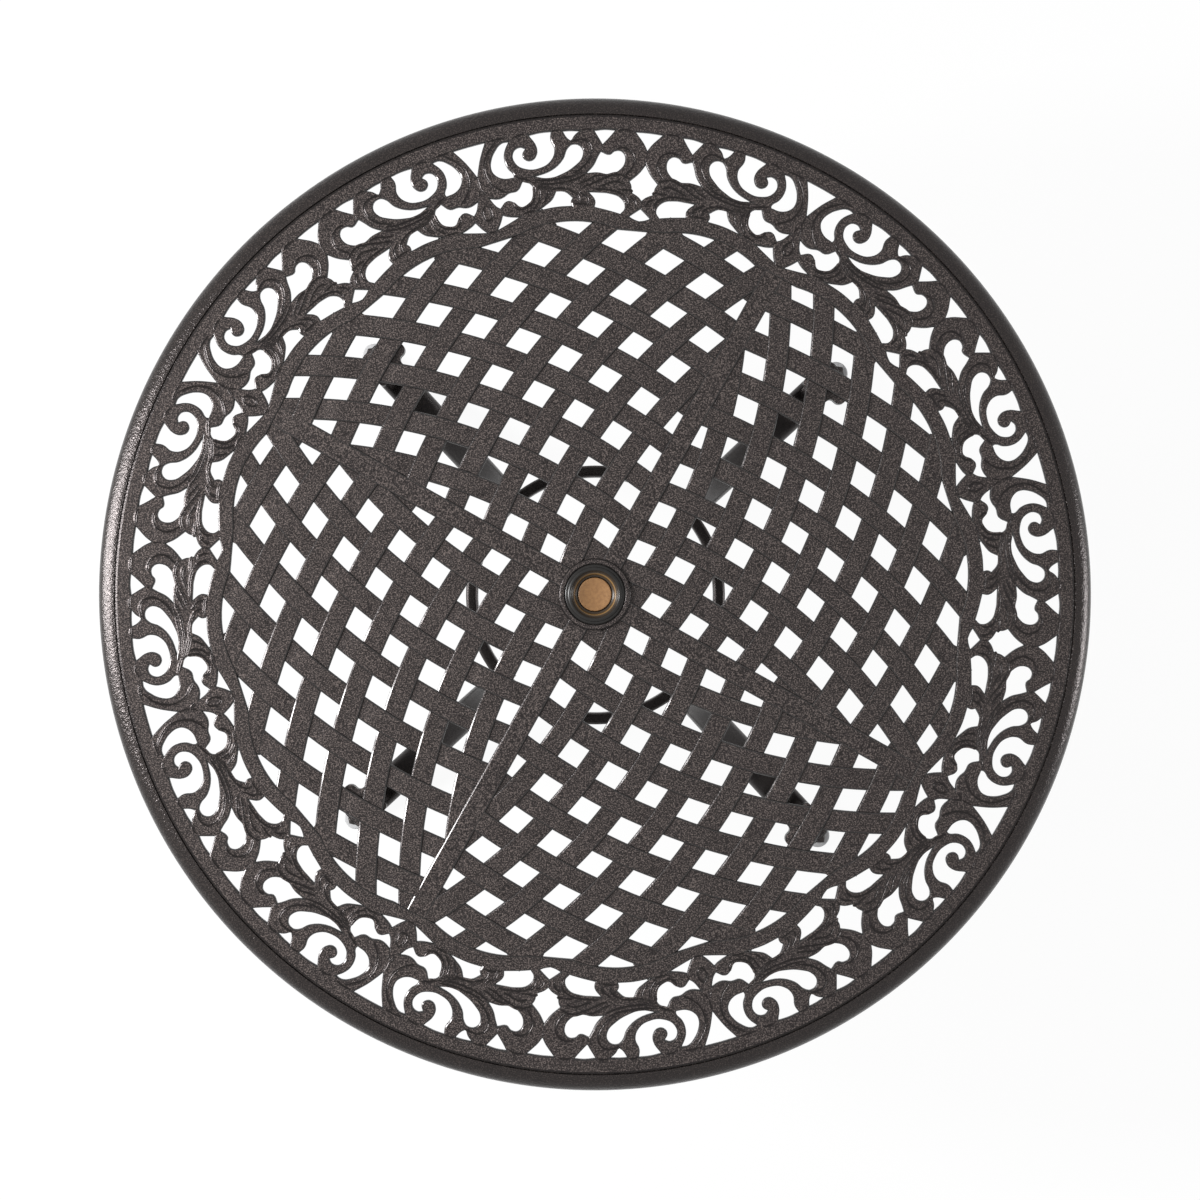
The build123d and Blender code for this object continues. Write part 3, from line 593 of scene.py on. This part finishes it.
def makeBorder():
    shape = plateShape("scrollBorder", border["high"] - border["low"], border["edge"])
    shape.resolution_u = border["curveSteps"]
    ring = [2 * pi * s / border["bandSteps"] for s in range(border["bandSteps"])]
    addPolyLoop(shape, [(border["outer"] * cos(a), border["outer"] * sin(a)) for a in ring])
    addPolyLoop(shape, lobeLoop(border["lobeRadius"]))
    for motif in range(border["motifs"]):
        turn = 2 * pi * motif / border["motifs"]
        addSharpLoop(shape, budOpening, False, turn)
        for opening in scrollOpenings:
            addSharpLoop(shape, opening, False, turn)
            addSharpLoop(shape, opening, True, turn)
        for opening in starOpenings:
            addSharpLoop(shape, opening, False, turn - pi / border["motifs"])
    return meshOf(shape, sharp=21, height=(border["low"] + border["high"]) / 2, turn=ridgeTurn)


scrollBorder = finishPiece(makeBorder(), "table", "bronze_casting", edgeBronze, "scroll_border")
print("border cut", len(scrollBorder.data.polygons))


def creaseCurve(name, lines):
    section = sectionLoop(name + "Section", crease["section"])
    shape = sweptShape(name, section)
    shape.resolution_u = crease["steps"]
    for line, flip, turn in lines:
        spline = shape.splines.new("BEZIER")
        spline.bezier_points.add(len(line) - 1)
        for i, (knot, (x, y)) in enumerate(zip(spline.bezier_points, line)):
            x, y = turned((-x if flip else x, y), turn)
            knot.co = (x * mm, y * mm, crease["base"] * mm)
            knot.handle_left_type = "AUTO"
            knot.handle_right_type = "AUTO"
            knot.radius = crease["taper"] if i in (0, len(line) - 1) else 1
    creases = meshOf(shape, sharp=22)
    bpy.data.objects.remove(section)
    return creases


halfStep = -pi / border["motifs"]
motifLines = [(line, flip, 0) for line in creaseLines for flip in (False, True)]
motifLines += [(line, False, 0) for line in axisLines]
motifLines += [(line, False, halfStep) for line in starLines]
firstCreases = creaseCurve("creases", motifLines)
for motif in range(border["motifs"]):
    creases = copyTurned(firstCreases, ridgeTurn + 2 * pi * motif / border["motifs"])
    creases.name = "scrollCreases%d" % (motif + 1)
    finishPiece(creases, "table", "bronze_casting", castBronze)
print("creases laid", len(firstCreases.data.polygons), "faces a motif")
bpy.data.objects.remove(firstCreases)


# woven centre
weave = {"strapWidth": 26.6, "pitch": 53.2, "first": 50.5, "firstBow": 625, "bowStep": 42, "firstApex": 104,
         "apexStep": 2, "straps": 9, "ridgeWidth": 26, "thickness": 7, "corner": 2.0, "step": 6.65,
         "middle": 729.0, "swing": 1.0, "steepness": 1.7, "underFrame": 9, "frameDip": 728.7, "frameFade": 22,
         "tuckStart": 30, "tuckRun": 22, "tuckDrop": 0.3, "hair": 0.07, "ridgeGap": 0.2,
         "scanFrom": 4, "scanStep": 0.5, "scans": 930, "ridgeThickness": 7.6,
         "ridgeRun": [(38, 730.4), (410, 730.4), (424, 729.9), (434, 729.1), (454.2, 728.7)],  # outwards, up
         "webPlace": 272, "webSide": 12.6, "webRadius": 4, "webDepth": 6, "webHeight": 725.2, "webSteps": 16}


def strapFacts(number):
    bow = weave["firstBow"] + weave["bowStep"] * number
    centre = weave["first"] + weave["pitch"] * number - bow
    return bow, centre, weave["firstApex"] + weave["apexStep"] * number


def frameRoom(x, y):
    if hypot(x, y) < border["lobeCentre"]:
        return border["lobeRadius"]  # well inside
    best = -border["lobeRadius"]
    for lobe in range(border["lobes"]):
        middle = (lobe + 0.5) * 2 * pi / border["lobes"]
        away = hypot(x - border["lobeCentre"] * cos(middle), y - border["lobeCentre"] * sin(middle))
        best = max(best, border["lobeRadius"] - away)
    return best


def weaveIndex(along, across):
    gaps = []  # how far past each crossing strap this point is
    for j in range(weave["straps"]):
        bow, centre, apex = strapFacts(j)
        gaps.append(hypot(along - apex, across - centre) - bow)
    if gaps[0] < 0:
        return max(-1, gaps[0] / weave["first"])
    for j in range(weave["straps"] - 1):
        if gaps[j + 1] < 0:
            return j + gaps[j] / (gaps[j] - gaps[j + 1])
    return weave["straps"] - 1


def strapHeight(x, y, number, crosswise):
    place = weaveIndex(x, y)
    parity = number + (1 if crosswise else 0)
    wave = -cos(pi * (place + parity))  # over one strap and under the next
    if place < 0 and parity % 2 == 0:
        wave = -1
    height = weave["middle"] + weave["swing"] * max(-1, min(1, weave["steepness"] * wave))
    dip = max(0, min(1, (weave["frameFade"] - frameRoom(x, y)) / weave["frameFade"]))
    low = weave["frameDip"] - (weave["hair"] if crosswise else 0)  # so no two faces share a plane
    height += (low - height) * dip
    tuck = max(0, min(1, (weave["tuckStart"] - x) / weave["tuckRun"]))  # under the ridge that it meets
    return height + (low - weave["tuckDrop"] - height) * tuck


def strapRuns(number, crosswise):
    bow, centre, apex = strapFacts(number)
    spans, inside = [], False
    for s in range(weave["scans"]):
        y = weave["scanFrom"] + s * weave["scanStep"]
        x = centre + sqrt(bow**2 - (y - apex)**2)
        stays = x > weave["ridgeGap"] and frameRoom(x, y) > -weave["underFrame"]
        if stays and not inside:
            spans.append([y, y])
        if stays:
            spans[-1][1] = y
        inside = stays
    runs = []
    for start, end in spans:
        count = ceil((end - start) / weave["step"])
        run = []
        for s in range(count + 1):
            y = start + (end - start) * s / max(1, count)
            x = centre + sqrt(bow**2 - (y - apex)**2)
            height = strapHeight(x, y, number, crosswise)
            run.append((y, x, height) if crosswise else (x, y, height))
        if len(run) > 2:
            runs.append(run)
    return runs


def sweepRuns(name, runs, width, thickness, corner):
    side, rise = width / 2, thickness / 2
    corners = [(-side, -rise, corner), (side, -rise, corner), (side, rise, corner), (-side, rise, corner)]
    section = sectionLoop(name + "Section", softCorners(corners, steps=2))
    shape = sweptShape(name, section)
    for run in runs:
        spline = shape.splines.new("POLY")
        spline.points.add(len(run) - 1)
        for knot, (x, y, z) in zip(spline.points, run):
            knot.co = (x * mm, y * mm, (z - rise) * mm, 1)
    swept = meshOf(shape, sharp=21)
    bpy.data.objects.remove(section)
    return swept


def makeWeave():
    runs = []
    for number in range(weave["straps"]):
        runs += strapRuns(number, False) + strapRuns(number, True)
    quarter = sweepRuns("strapQuarter", runs, weave["strapWidth"], weave["thickness"], weave["corner"])
    ridgeRun = [(along, 0, height) for along, height in weave["ridgeRun"]]
    ridge = sweepRuns("ridge", [ridgeRun], weave["ridgeWidth"], weave["ridgeThickness"], weave["corner"])
    webs = []
    for side in (-1, 1):  # the small corners beside a ridge are cast shut
        clearSelection()
        place = (weave["webPlace"] * mm, side * weave["webSide"] * mm, weave["webHeight"] * mm)
        bpy.ops.mesh.primitive_cylinder_add(vertices=weave["webSteps"], radius=weave["webRadius"] * mm,
                                            depth=weave["webDepth"] * mm, location=place)
        webs.append(settle(bpy.context.object, "web", sharp=40))
    ridge = joinAll([ridge] + webs)
    castings = []
    for quarterTurn in range(4):
        turn = ridgeTurn + quarterTurn * pi / 2
        castings += [copyTurned(quarter, turn), copyTurned(ridge, turn)]
    bpy.data.objects.remove(quarter)
    bpy.data.objects.remove(ridge)
    whole = joinAll(castings)
    whole.name = "wovenCentre"
    return whole


wovenCentre = finishPiece(makeWeave(), "table", "bronze_casting", edgeBronze, "lattice_panel")
print("straps woven", len(wovenCentre.data.polygons))


# hub of the woven centre
hub = {"bore": 25.9, "outer": 44, "lipInner": 37.4, "lipTop": 733, "top": 730, "bottom": 714, "skirt": 56,
       "skirtLow": 722, "skirtTop": 727.6, "steps": 96, "boreFoot": 1, "outerFoot": 1.5, "skirtRound": 1,
       "lipRound": 2.2, "lipInnerRound": 1.2, "boreRound": 0.6}
hubOutline = softCorners([
    (hub["bore"], hub["bottom"], hub["boreFoot"]), (hub["outer"], hub["bottom"], hub["outerFoot"]),
    (hub["outer"], hub["skirtLow"], 0), (hub["skirt"], hub["skirtLow"], hub["skirtRound"]),
    (hub["skirt"], hub["skirtTop"], hub["skirtRound"]), (hub["outer"], hub["skirtTop"], 0),
    (hub["outer"], hub["lipTop"], hub["lipRound"]), (hub["lipInner"], hub["lipTop"], hub["lipInnerRound"]),
    (hub["lipInner"], hub["top"], 0), (hub["bore"], hub["top"], hub["boreRound"])])
finishPiece(turnProfile("hubRing", hubOutline, hub["steps"]), "table", "bronze_casting", castBronze)

# grommet and plug of the umbrella hole
grommet = {"bore": 19.2, "sleeve": 25.5, "flange": 37, "seat": 21, "bottom": 684, "top": 730,
           "plugBottom": 717, "edge": 1, "boreEdge": 0.8, "steps": 112,
           "collar": [(37, 731), (36.4, 731.5), (35.3, 732.06), (34.4, 732.2), (33.6, 732.25), (33.4, 732.6),
                      (32.9, 733.2), (31.7, 733.81), (30.8, 734), (30, 733.9)],
           "throat": [(29.2, 733.2), (28.4, 732.2), (27.5, 731.2), (26.9, 730.7), (25.9, 730.5), (25.2, 730),
                      (24.6, 729), (23.6, 727.8), (22.4, 726.9), (21.6, 726.4)]}  # steps down to the plug


def makeGrommet():
    outline = [(grommet["bore"] + grommet["boreEdge"], grommet["bottom"]),
               (grommet["sleeve"] - grommet["edge"], grommet["bottom"]),
               (grommet["sleeve"], grommet["bottom"] + grommet["edge"]), (grommet["sleeve"], grommet["top"]),
               (grommet["flange"], grommet["top"])]
    outline += grommet["collar"] + grommet["throat"]
    outline += [(grommet["seat"], grommet["plugBottom"]), (grommet["bore"], grommet["plugBottom"]),
                (grommet["bore"], grommet["bottom"] + grommet["boreEdge"])]
    return turnProfile("umbrellaGrommet", outline, grommet["steps"], sharp=10)


finishPiece(makeGrommet(), "grommet", "black_gloss", blackGloss, "umbrella_grommet")

plug = {"radius": 20.6, "top": 726, "bottom": 717, "dish": 1.5, "dishSteps": 8, "steps": 96,
        "brim": [(0, 1), (0.35, 0.3), (1, 0), (2, 0.1)], "foot": 0.6}  # brim: inwards and down


def makePlug():
    outline = [(0, plug["bottom"]), (plug["radius"] - plug["foot"], plug["bottom"]),
               (plug["radius"], plug["bottom"] + plug["foot"])]
    outline += [(plug["radius"] - inwards, plug["top"] - down) for inwards, down in plug["brim"]]
    brimInner = outline[-1][0]
    for s in range(1, plug["dishSteps"] + 1):
        share = 1 - s / plug["dishSteps"]
        outline.append((brimInner * share, plug["top"] - plug["dish"] * (1 - share**2)))
    return turnProfile("umbrellaPlug", outline, plug["steps"], sharp=50)


finishPiece(makePlug(), "plug", "tan_plug", tanPlastic, "umbrella_plug")
print("umbrella hole fitted")


# legs: one bowed bar, made once at +X and turned to the four diagonals
leg = {"width": 38, "thickness": 26, "corner": 10, "waist": 189, "waistHeight": 360, "mount": 384,
       "mountHeight": 706, "foot": 497, "footHeight": 20.3, "toeBottom": 8.3, "toeWidth": 20, "toeTaper": 85,
       "toeBelow": 200, "toeRings": 6, "toeRing": 3, "toeBlunt": 0.02, "mountRun": 50, "upperSteps": 22,
       "lowerSteps": 30, "cornerSteps": 6}
legAngles = {"a": 45, "b": 135, "c": 225, "d": 315}


def atLegs(first, label):  # a turned copy of the first for each leg
    for letter, angle in legAngles.items():
        piece = copyTurned(first, radians(angle))
        piece.name = label + letter
        yield letter, piece
    bpy.data.objects.remove(first)


def makeLegBar():
    halfDeep, half, toeHalf = leg["thickness"] / 2, leg["width"] / 2, leg["toeWidth"] / 2
    corner = leg["corner"]
    section = softCorners([(-halfDeep, -half, corner), (halfDeep, -half, corner),
                           (halfDeep, half, corner), (-halfDeep, half, corner)], leg["cornerSteps"])
    clearSelection()
    bpy.ops.mesh.primitive_circle_add(vertices=len(section))
    bar = bpy.context.object
    for vertex, (x, y) in zip(bar.data.vertices, section):
        vertex.co = ((leg["waist"] + x) * mm, y * mm, leg["waistHeight"] * mm)
    rise, run = leg["mountHeight"] - leg["waistHeight"], leg["mount"] - leg["waist"]
    upperBow = (run**2 + rise**2) / (2 * run)
    upperAngle = asin(rise / upperBow)
    drop, out = leg["waistHeight"] - leg["footHeight"], leg["foot"] - leg["waist"]
    lowerBow = (out**2 + drop**2) / (2 * out)
    lowerAngle = asin(drop / lowerBow)
    bpy.ops.object.mode_set(mode="EDIT")
    bpy.ops.mesh.select_all(action="SELECT")
    bpy.ops.mesh.spin(steps=leg["upperSteps"], angle=-upperAngle, axis=(0, 1, 0),
                      center=((leg["waist"] + upperBow) * mm, 0, leg["waistHeight"] * mm))
    bpy.ops.mesh.extrude_region_move(TRANSFORM_OT_translate={
        "value": (sin(upperAngle) * leg["mountRun"] * mm, 0, cos(upperAngle) * leg["mountRun"] * mm)})
    bpy.ops.mesh.edge_face_add()
    bpy.ops.object.mode_set(mode="OBJECT")
    for edge in bar.data.edges:
        edge.select = False
    for face in bar.data.polygons:
        face.select = False
    for vertex in bar.data.vertices:
        vertex.select = abs(vertex.co.z - leg["waistHeight"] * mm) < mergeWithin
    bpy.ops.object.mode_set(mode="EDIT")
    bpy.ops.mesh.select_mode(type="VERT")
    bpy.ops.mesh.spin(steps=leg["lowerSteps"], angle=lowerAngle, axis=(0, 1, 0),
                      center=((leg["waist"] + lowerBow) * mm, 0, leg["waistHeight"] * mm))
    for ring in range(leg["toeRings"]):  # the toe runs on straight, in short rings for its rounded end
        bpy.ops.mesh.extrude_region_move(TRANSFORM_OT_translate={
            "value": (sin(lowerAngle) * leg["toeRing"] * mm, 0, -cos(lowerAngle) * leg["toeRing"] * mm)})
    bpy.ops.mesh.edge_face_add()
    bpy.ops.mesh.select_all(action="SELECT")
    bpy.ops.mesh.bisect(plane_co=(0, 0, leg["mountHeight"] * mm), plane_no=(0, 0, 1),
                        use_fill=True, clear_outer=True)
    bpy.ops.mesh.select_all(action="SELECT")
    bpy.ops.mesh.bisect(plane_co=(0, 0, leg["toeBottom"] * mm), plane_no=(0, 0, 1),
                        use_fill=True, clear_inner=True)
    bpy.ops.object.mode_set(mode="OBJECT")
    for vertex in bar.data.vertices:  # narrowed towards the toe, round at its end
        beyond = vertex.co.x / mm - (leg["foot"] - leg["toeTaper"])
        if beyond <= 0 or vertex.co.z > leg["toeBelow"] * mm:
            continue
        limit = half - (half - toeHalf) * min(1, beyond / leg["toeTaper"])
        past = vertex.co.x / mm - leg["foot"]
        if past > 0:
            limit = toeHalf * sqrt(max(leg["toeBlunt"], 1 - (min(past, toeHalf) / toeHalf)**2))
            vertex.co.x = min(vertex.co.x, (leg["foot"] + toeHalf) * mm)
        vertex.co.y *= limit / half
    return settle(bar, "legBar", sharp=50)


for letter, piece in atLegs(makeLegBar(), "bowedLeg_"):
    finishPiece(piece, "table", "bronze_casting", legShadeBronze, "leg_" + letter)
print("legs bent")

# flanges on the legs and pads under the woven centre, one over the other
mount = {"length": 44, "middle": 38, "spacing": 52, "ear": 8.5, "low": 706, "seam": 714, "high": 722.4,
         "edge": 0.9, "corner": 6, "neck": 5.5, "earRound": 8.4, "hair": 0.01}


def makeMountPlate(name, low, high):
    end, side, ear = mount["length"] / 2, mount["middle"] / 2, mount["ear"]
    earReach, neckAt = mount["spacing"] / 2 + ear, ear + mount["hair"]
    corner, neck, earRound = mount["corner"], mount["neck"], mount["earRound"]
    outline = softCorners([(end, -side, corner), (end, side, corner), (neckAt, side, neck),
                           (ear, earReach, earRound), (-ear, earReach, earRound), (-neckAt, side, neck),
                           (-end, side, corner), (-end, -side, corner), (-neckAt, -side, neck),
                           (-ear, -earReach, earRound), (ear, -earReach, earRound),
                           (neckAt, -side, neck)], steps=5)
    shape = plateShape(name, high - low, mount["edge"])
    addPolyLoop(shape, [(x + leg["mount"], y) for x, y in outline])
    return meshOf(shape, sharp=40, height=(low + high) / 2)


for label, low, high, finish in (("legFlange", mount["low"], mount["seam"], legShadeBronze),
                                 ("centrePad", mount["seam"], mount["high"], castBronze)):
    for letter, piece in atLegs(makeMountPlate(label, low, high), label + "_"):
        finishPiece(piece, "table", "bronze_casting", finish)
print("mounts set")

# hoop that ties the legs
hoop = {"inner": 161.5, "outer": 177.5, "low": 345, "high": 375, "corner": 5, "steps": 160}
hoopOutline = softCorners([
    (hoop["inner"], hoop["low"], hoop["corner"]), (hoop["outer"], hoop["low"], hoop["corner"]),
    (hoop["outer"], hoop["high"], hoop["corner"]), (hoop["inner"], hoop["high"], hoop["corner"])], steps=6)
tieHoop = turnProfile("tieHoop", hoopOutline, hoop["steps"])
finishPiece(tieHoop, "table", "bronze_casting", legShadeBronze, "stretcher_hoop")

# the turned glides under the toes
glide = {"radius": 18, "height": 8, "edge": 2.4, "chamfer": 1, "chamferRound": 0.6, "well": 4.2,
         "wellEdge": 0.5, "wellFloor": 6.8, "steps": 56}
glideOutline = softCorners([(0, 0, 0), (glide["radius"] - glide["chamfer"], 0, 0),
                            (glide["radius"], glide["chamfer"], glide["chamferRound"]),
                            (glide["radius"], glide["height"], glide["edge"]),
                            (glide["well"], glide["height"], glide["wellEdge"]),
                            (glide["well"], glide["wellFloor"], 0), (0, glide["wellFloor"], 0)])
firstGlide = moveOut(turnProfile("glide", glideOutline, glide["steps"], sharp=45), leg["foot"])
for letter, piece in atLegs(firstGlide, "footGlide_"):
    finishPiece(piece, "leveler_" + letter, "grey_pad", greyPlastic, "leveler_pad_" + letter)
print("feet turned")

# threaded studs of the glides
stud = {"radius": 3, "root": 2.5, "pitch": 1, "low": 3, "high": 27.3, "steps": 20,
        "rise": 0.1, "crestFrom": 0.45, "crestTo": 0.6, "fall": 0.95}


def makeStud():
    outline = [(0, stud["low"]), (stud["root"], stud["low"])]
    turns = int((stud["high"] - stud["low"]) / stud["pitch"])
    for t in range(turns):
        base = stud["low"] + t * stud["pitch"]
        outline += [(stud["root"], base + stud["rise"]), (stud["radius"], base + stud["crestFrom"]),
                    (stud["radius"], base + stud["crestTo"]), (stud["root"], base + stud["fall"])]
    outline += [(stud["root"], stud["high"]), (0, stud["high"])]
    return moveOut(turnProfile("stud", outline, stud["steps"], sharp=25), leg["foot"])


for letter, piece in atLegs(makeStud(), "glideStud_"):
    finishPiece(piece, "leveler_" + letter, "zinc_steel", zincPlate, "leveler_stud_" + letter)
print("studs cut")


# bolts, washers, cap nuts and inserts: the CAD's shapes with smooth rounds
def smoothCopy(node, name, slot, finish):
    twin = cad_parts[node].copy()
    twin.data = twin.data.copy()
    bpy.context.collection.objects.link(twin)
    settle(twin, name, sharp=28)
    return finishPiece(twin, "table", slot, finish, node)


for node, name in (("leg_mount_bolts", "mountBolts"), ("leg_mount_washers", "mountWashers"),
                   ("leg_lock_washers", "mountLockWashers"), ("hoop_bolts", "hoopBolts"),
                   ("hoop_washers", "hoopWashers"), ("hoop_cap_nuts", "hoopCapNuts")):
    smoothCopy(node, name, "zinc_steel", zincPlate)
smoothCopy("foot_inserts", "toeInserts", "brass_insert", turnedBrass)
print("fasteners fitted")

# floor, light and camera
studio = {"floorSize": 300, "floorDrop": 0.0005, "floorColour": (0.85, 0.85, 0.85), "floorRough": 0.9,
          "floorSpecular": 0.1, "paper": (1, 1, 1), "paperShare": 0.93, "worldFill": 0.3, "aim": (0, 0, 0.7),
          # lamps: watts, height, width and place in metres
          "key": (106, 0.8, 0.5, (-2.5, 0.1, 2.9)), "low": (50, 0.5, 0.5, (-2.7, 0.1, 2.0)),
          "side": (55, 0.6, 0.9, (-3.0, 0.1, 1.3)), "fill": (40, 0.8, 0.8, (3.0, -0.1, 1.05))}


def seenAsPaper(nodes, links):
    rays = nodes.new("ShaderNodeLightPath")
    seen = nodes.new("ShaderNodeMath")
    seen.operation = "ADD"
    links.new(rays.outputs["Is Camera Ray"], seen.inputs[0])
    links.new(rays.outputs["Is Glossy Ray"], seen.inputs[1])
    shown = nodes.new("ShaderNodeMath")
    shown.operation = "ADD"
    shown.use_clamp = True
    links.new(seen.outputs[0], shown.inputs[0])
    links.new(rays.outputs["Is Transmission Ray"], shown.inputs[1])
    return shown.outputs[0]


clearSelection()
bpy.ops.mesh.primitive_plane_add(size=studio["floorSize"], location=(0, 0, -studio["floorDrop"]))
floor = bpy.context.object
floor.name = "paleFloor"
floorFinish, nodes, links, shader = newFinish("pale floor")
shader.inputs["Base Color"].default_value = (*studio["floorColour"], 1)
shader.inputs["Roughness"].default_value = studio["floorRough"]
shader.inputs["Specular IOR Level"].default_value = studio["floorSpecular"]
paper = nodes.new("ShaderNodeEmission")
paper.inputs["Color"].default_value = (*studio["paper"], 1)
share = nodes.new("ShaderNodeMath")  # the rest of the floor keeps the shadow
share.operation = "MULTIPLY"
share.inputs[1].default_value = studio["paperShare"]
links.new(seenAsPaper(nodes, links), share.inputs[0])
blend = nodes.new("ShaderNodeMixShader")
links.new(share.outputs[0], blend.inputs["Fac"])
links.new(shader.outputs["BSDF"], blend.inputs[1])
links.new(paper.outputs["Emission"], blend.inputs[2])
links.new(blend.outputs["Shader"], nodes["Material Output"].inputs["Surface"])
floor.data.materials.append(floorFinish)
floor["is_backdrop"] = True

world = bpy.data.worlds.new("studio")
bpy.context.scene.world = world
world.use_nodes = True
nodes, links = world.node_tree.nodes, world.node_tree.links
level = nodes.new("ShaderNodeMapRange")
level.inputs["To Min"].default_value = studio["worldFill"]
links.new(seenAsPaper(nodes, links), level.inputs["Value"])
nodes["Background"].inputs["Color"].default_value = (*studio["paper"], 1)
links.new(level.outputs["Result"], nodes["Background"].inputs["Strength"])


def addSoftbox(name, power, tall, wide, place):
    lamp = bpy.data.lights.new(name, "AREA")
    lamp.shape = "RECTANGLE"
    lamp.size, lamp.size_y = wide, tall
    lamp.energy = power
    box = bpy.data.objects.new(name, lamp)
    bpy.context.collection.objects.link(box)
    box.location = place
    box.rotation_euler = (Vector(studio["aim"]) - Vector(place)).to_track_quat("-Z", "Y").to_euler()


for lampName in ("key", "low", "side", "fill"):
    addSoftbox(lampName + "Box", *studio[lampName])
print("lamps hung")

shot = {"lens": 72.45, "sensor": 36, "height": 3.68, "turn": 2.25, "right": 0.0062, "down": 0.0069}
camera = bpy.data.cameras.new("overhead")
camera.lens = shot["lens"]
camera.sensor_width = shot["sensor"]
cameraPlace = bpy.data.objects.new("overhead", camera)
bpy.context.collection.objects.link(cameraPlace)
tip = radians(shot["turn"])
cameraPlace.location = (shot["right"] * cos(tip) + shot["down"] * sin(tip),
                        shot["right"] * sin(tip) - shot["down"] * cos(tip), shot["height"])
cameraPlace.rotation_euler = (0, 0, tip)
bpy.context.scene.camera = cameraPlace
bpy.context.scene.view_settings.view_transform = "Standard"

low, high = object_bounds()
{"cad": [list(cadLow), list(cadHigh)], "visual": [list(low), list(high)]}
print("scene ready")
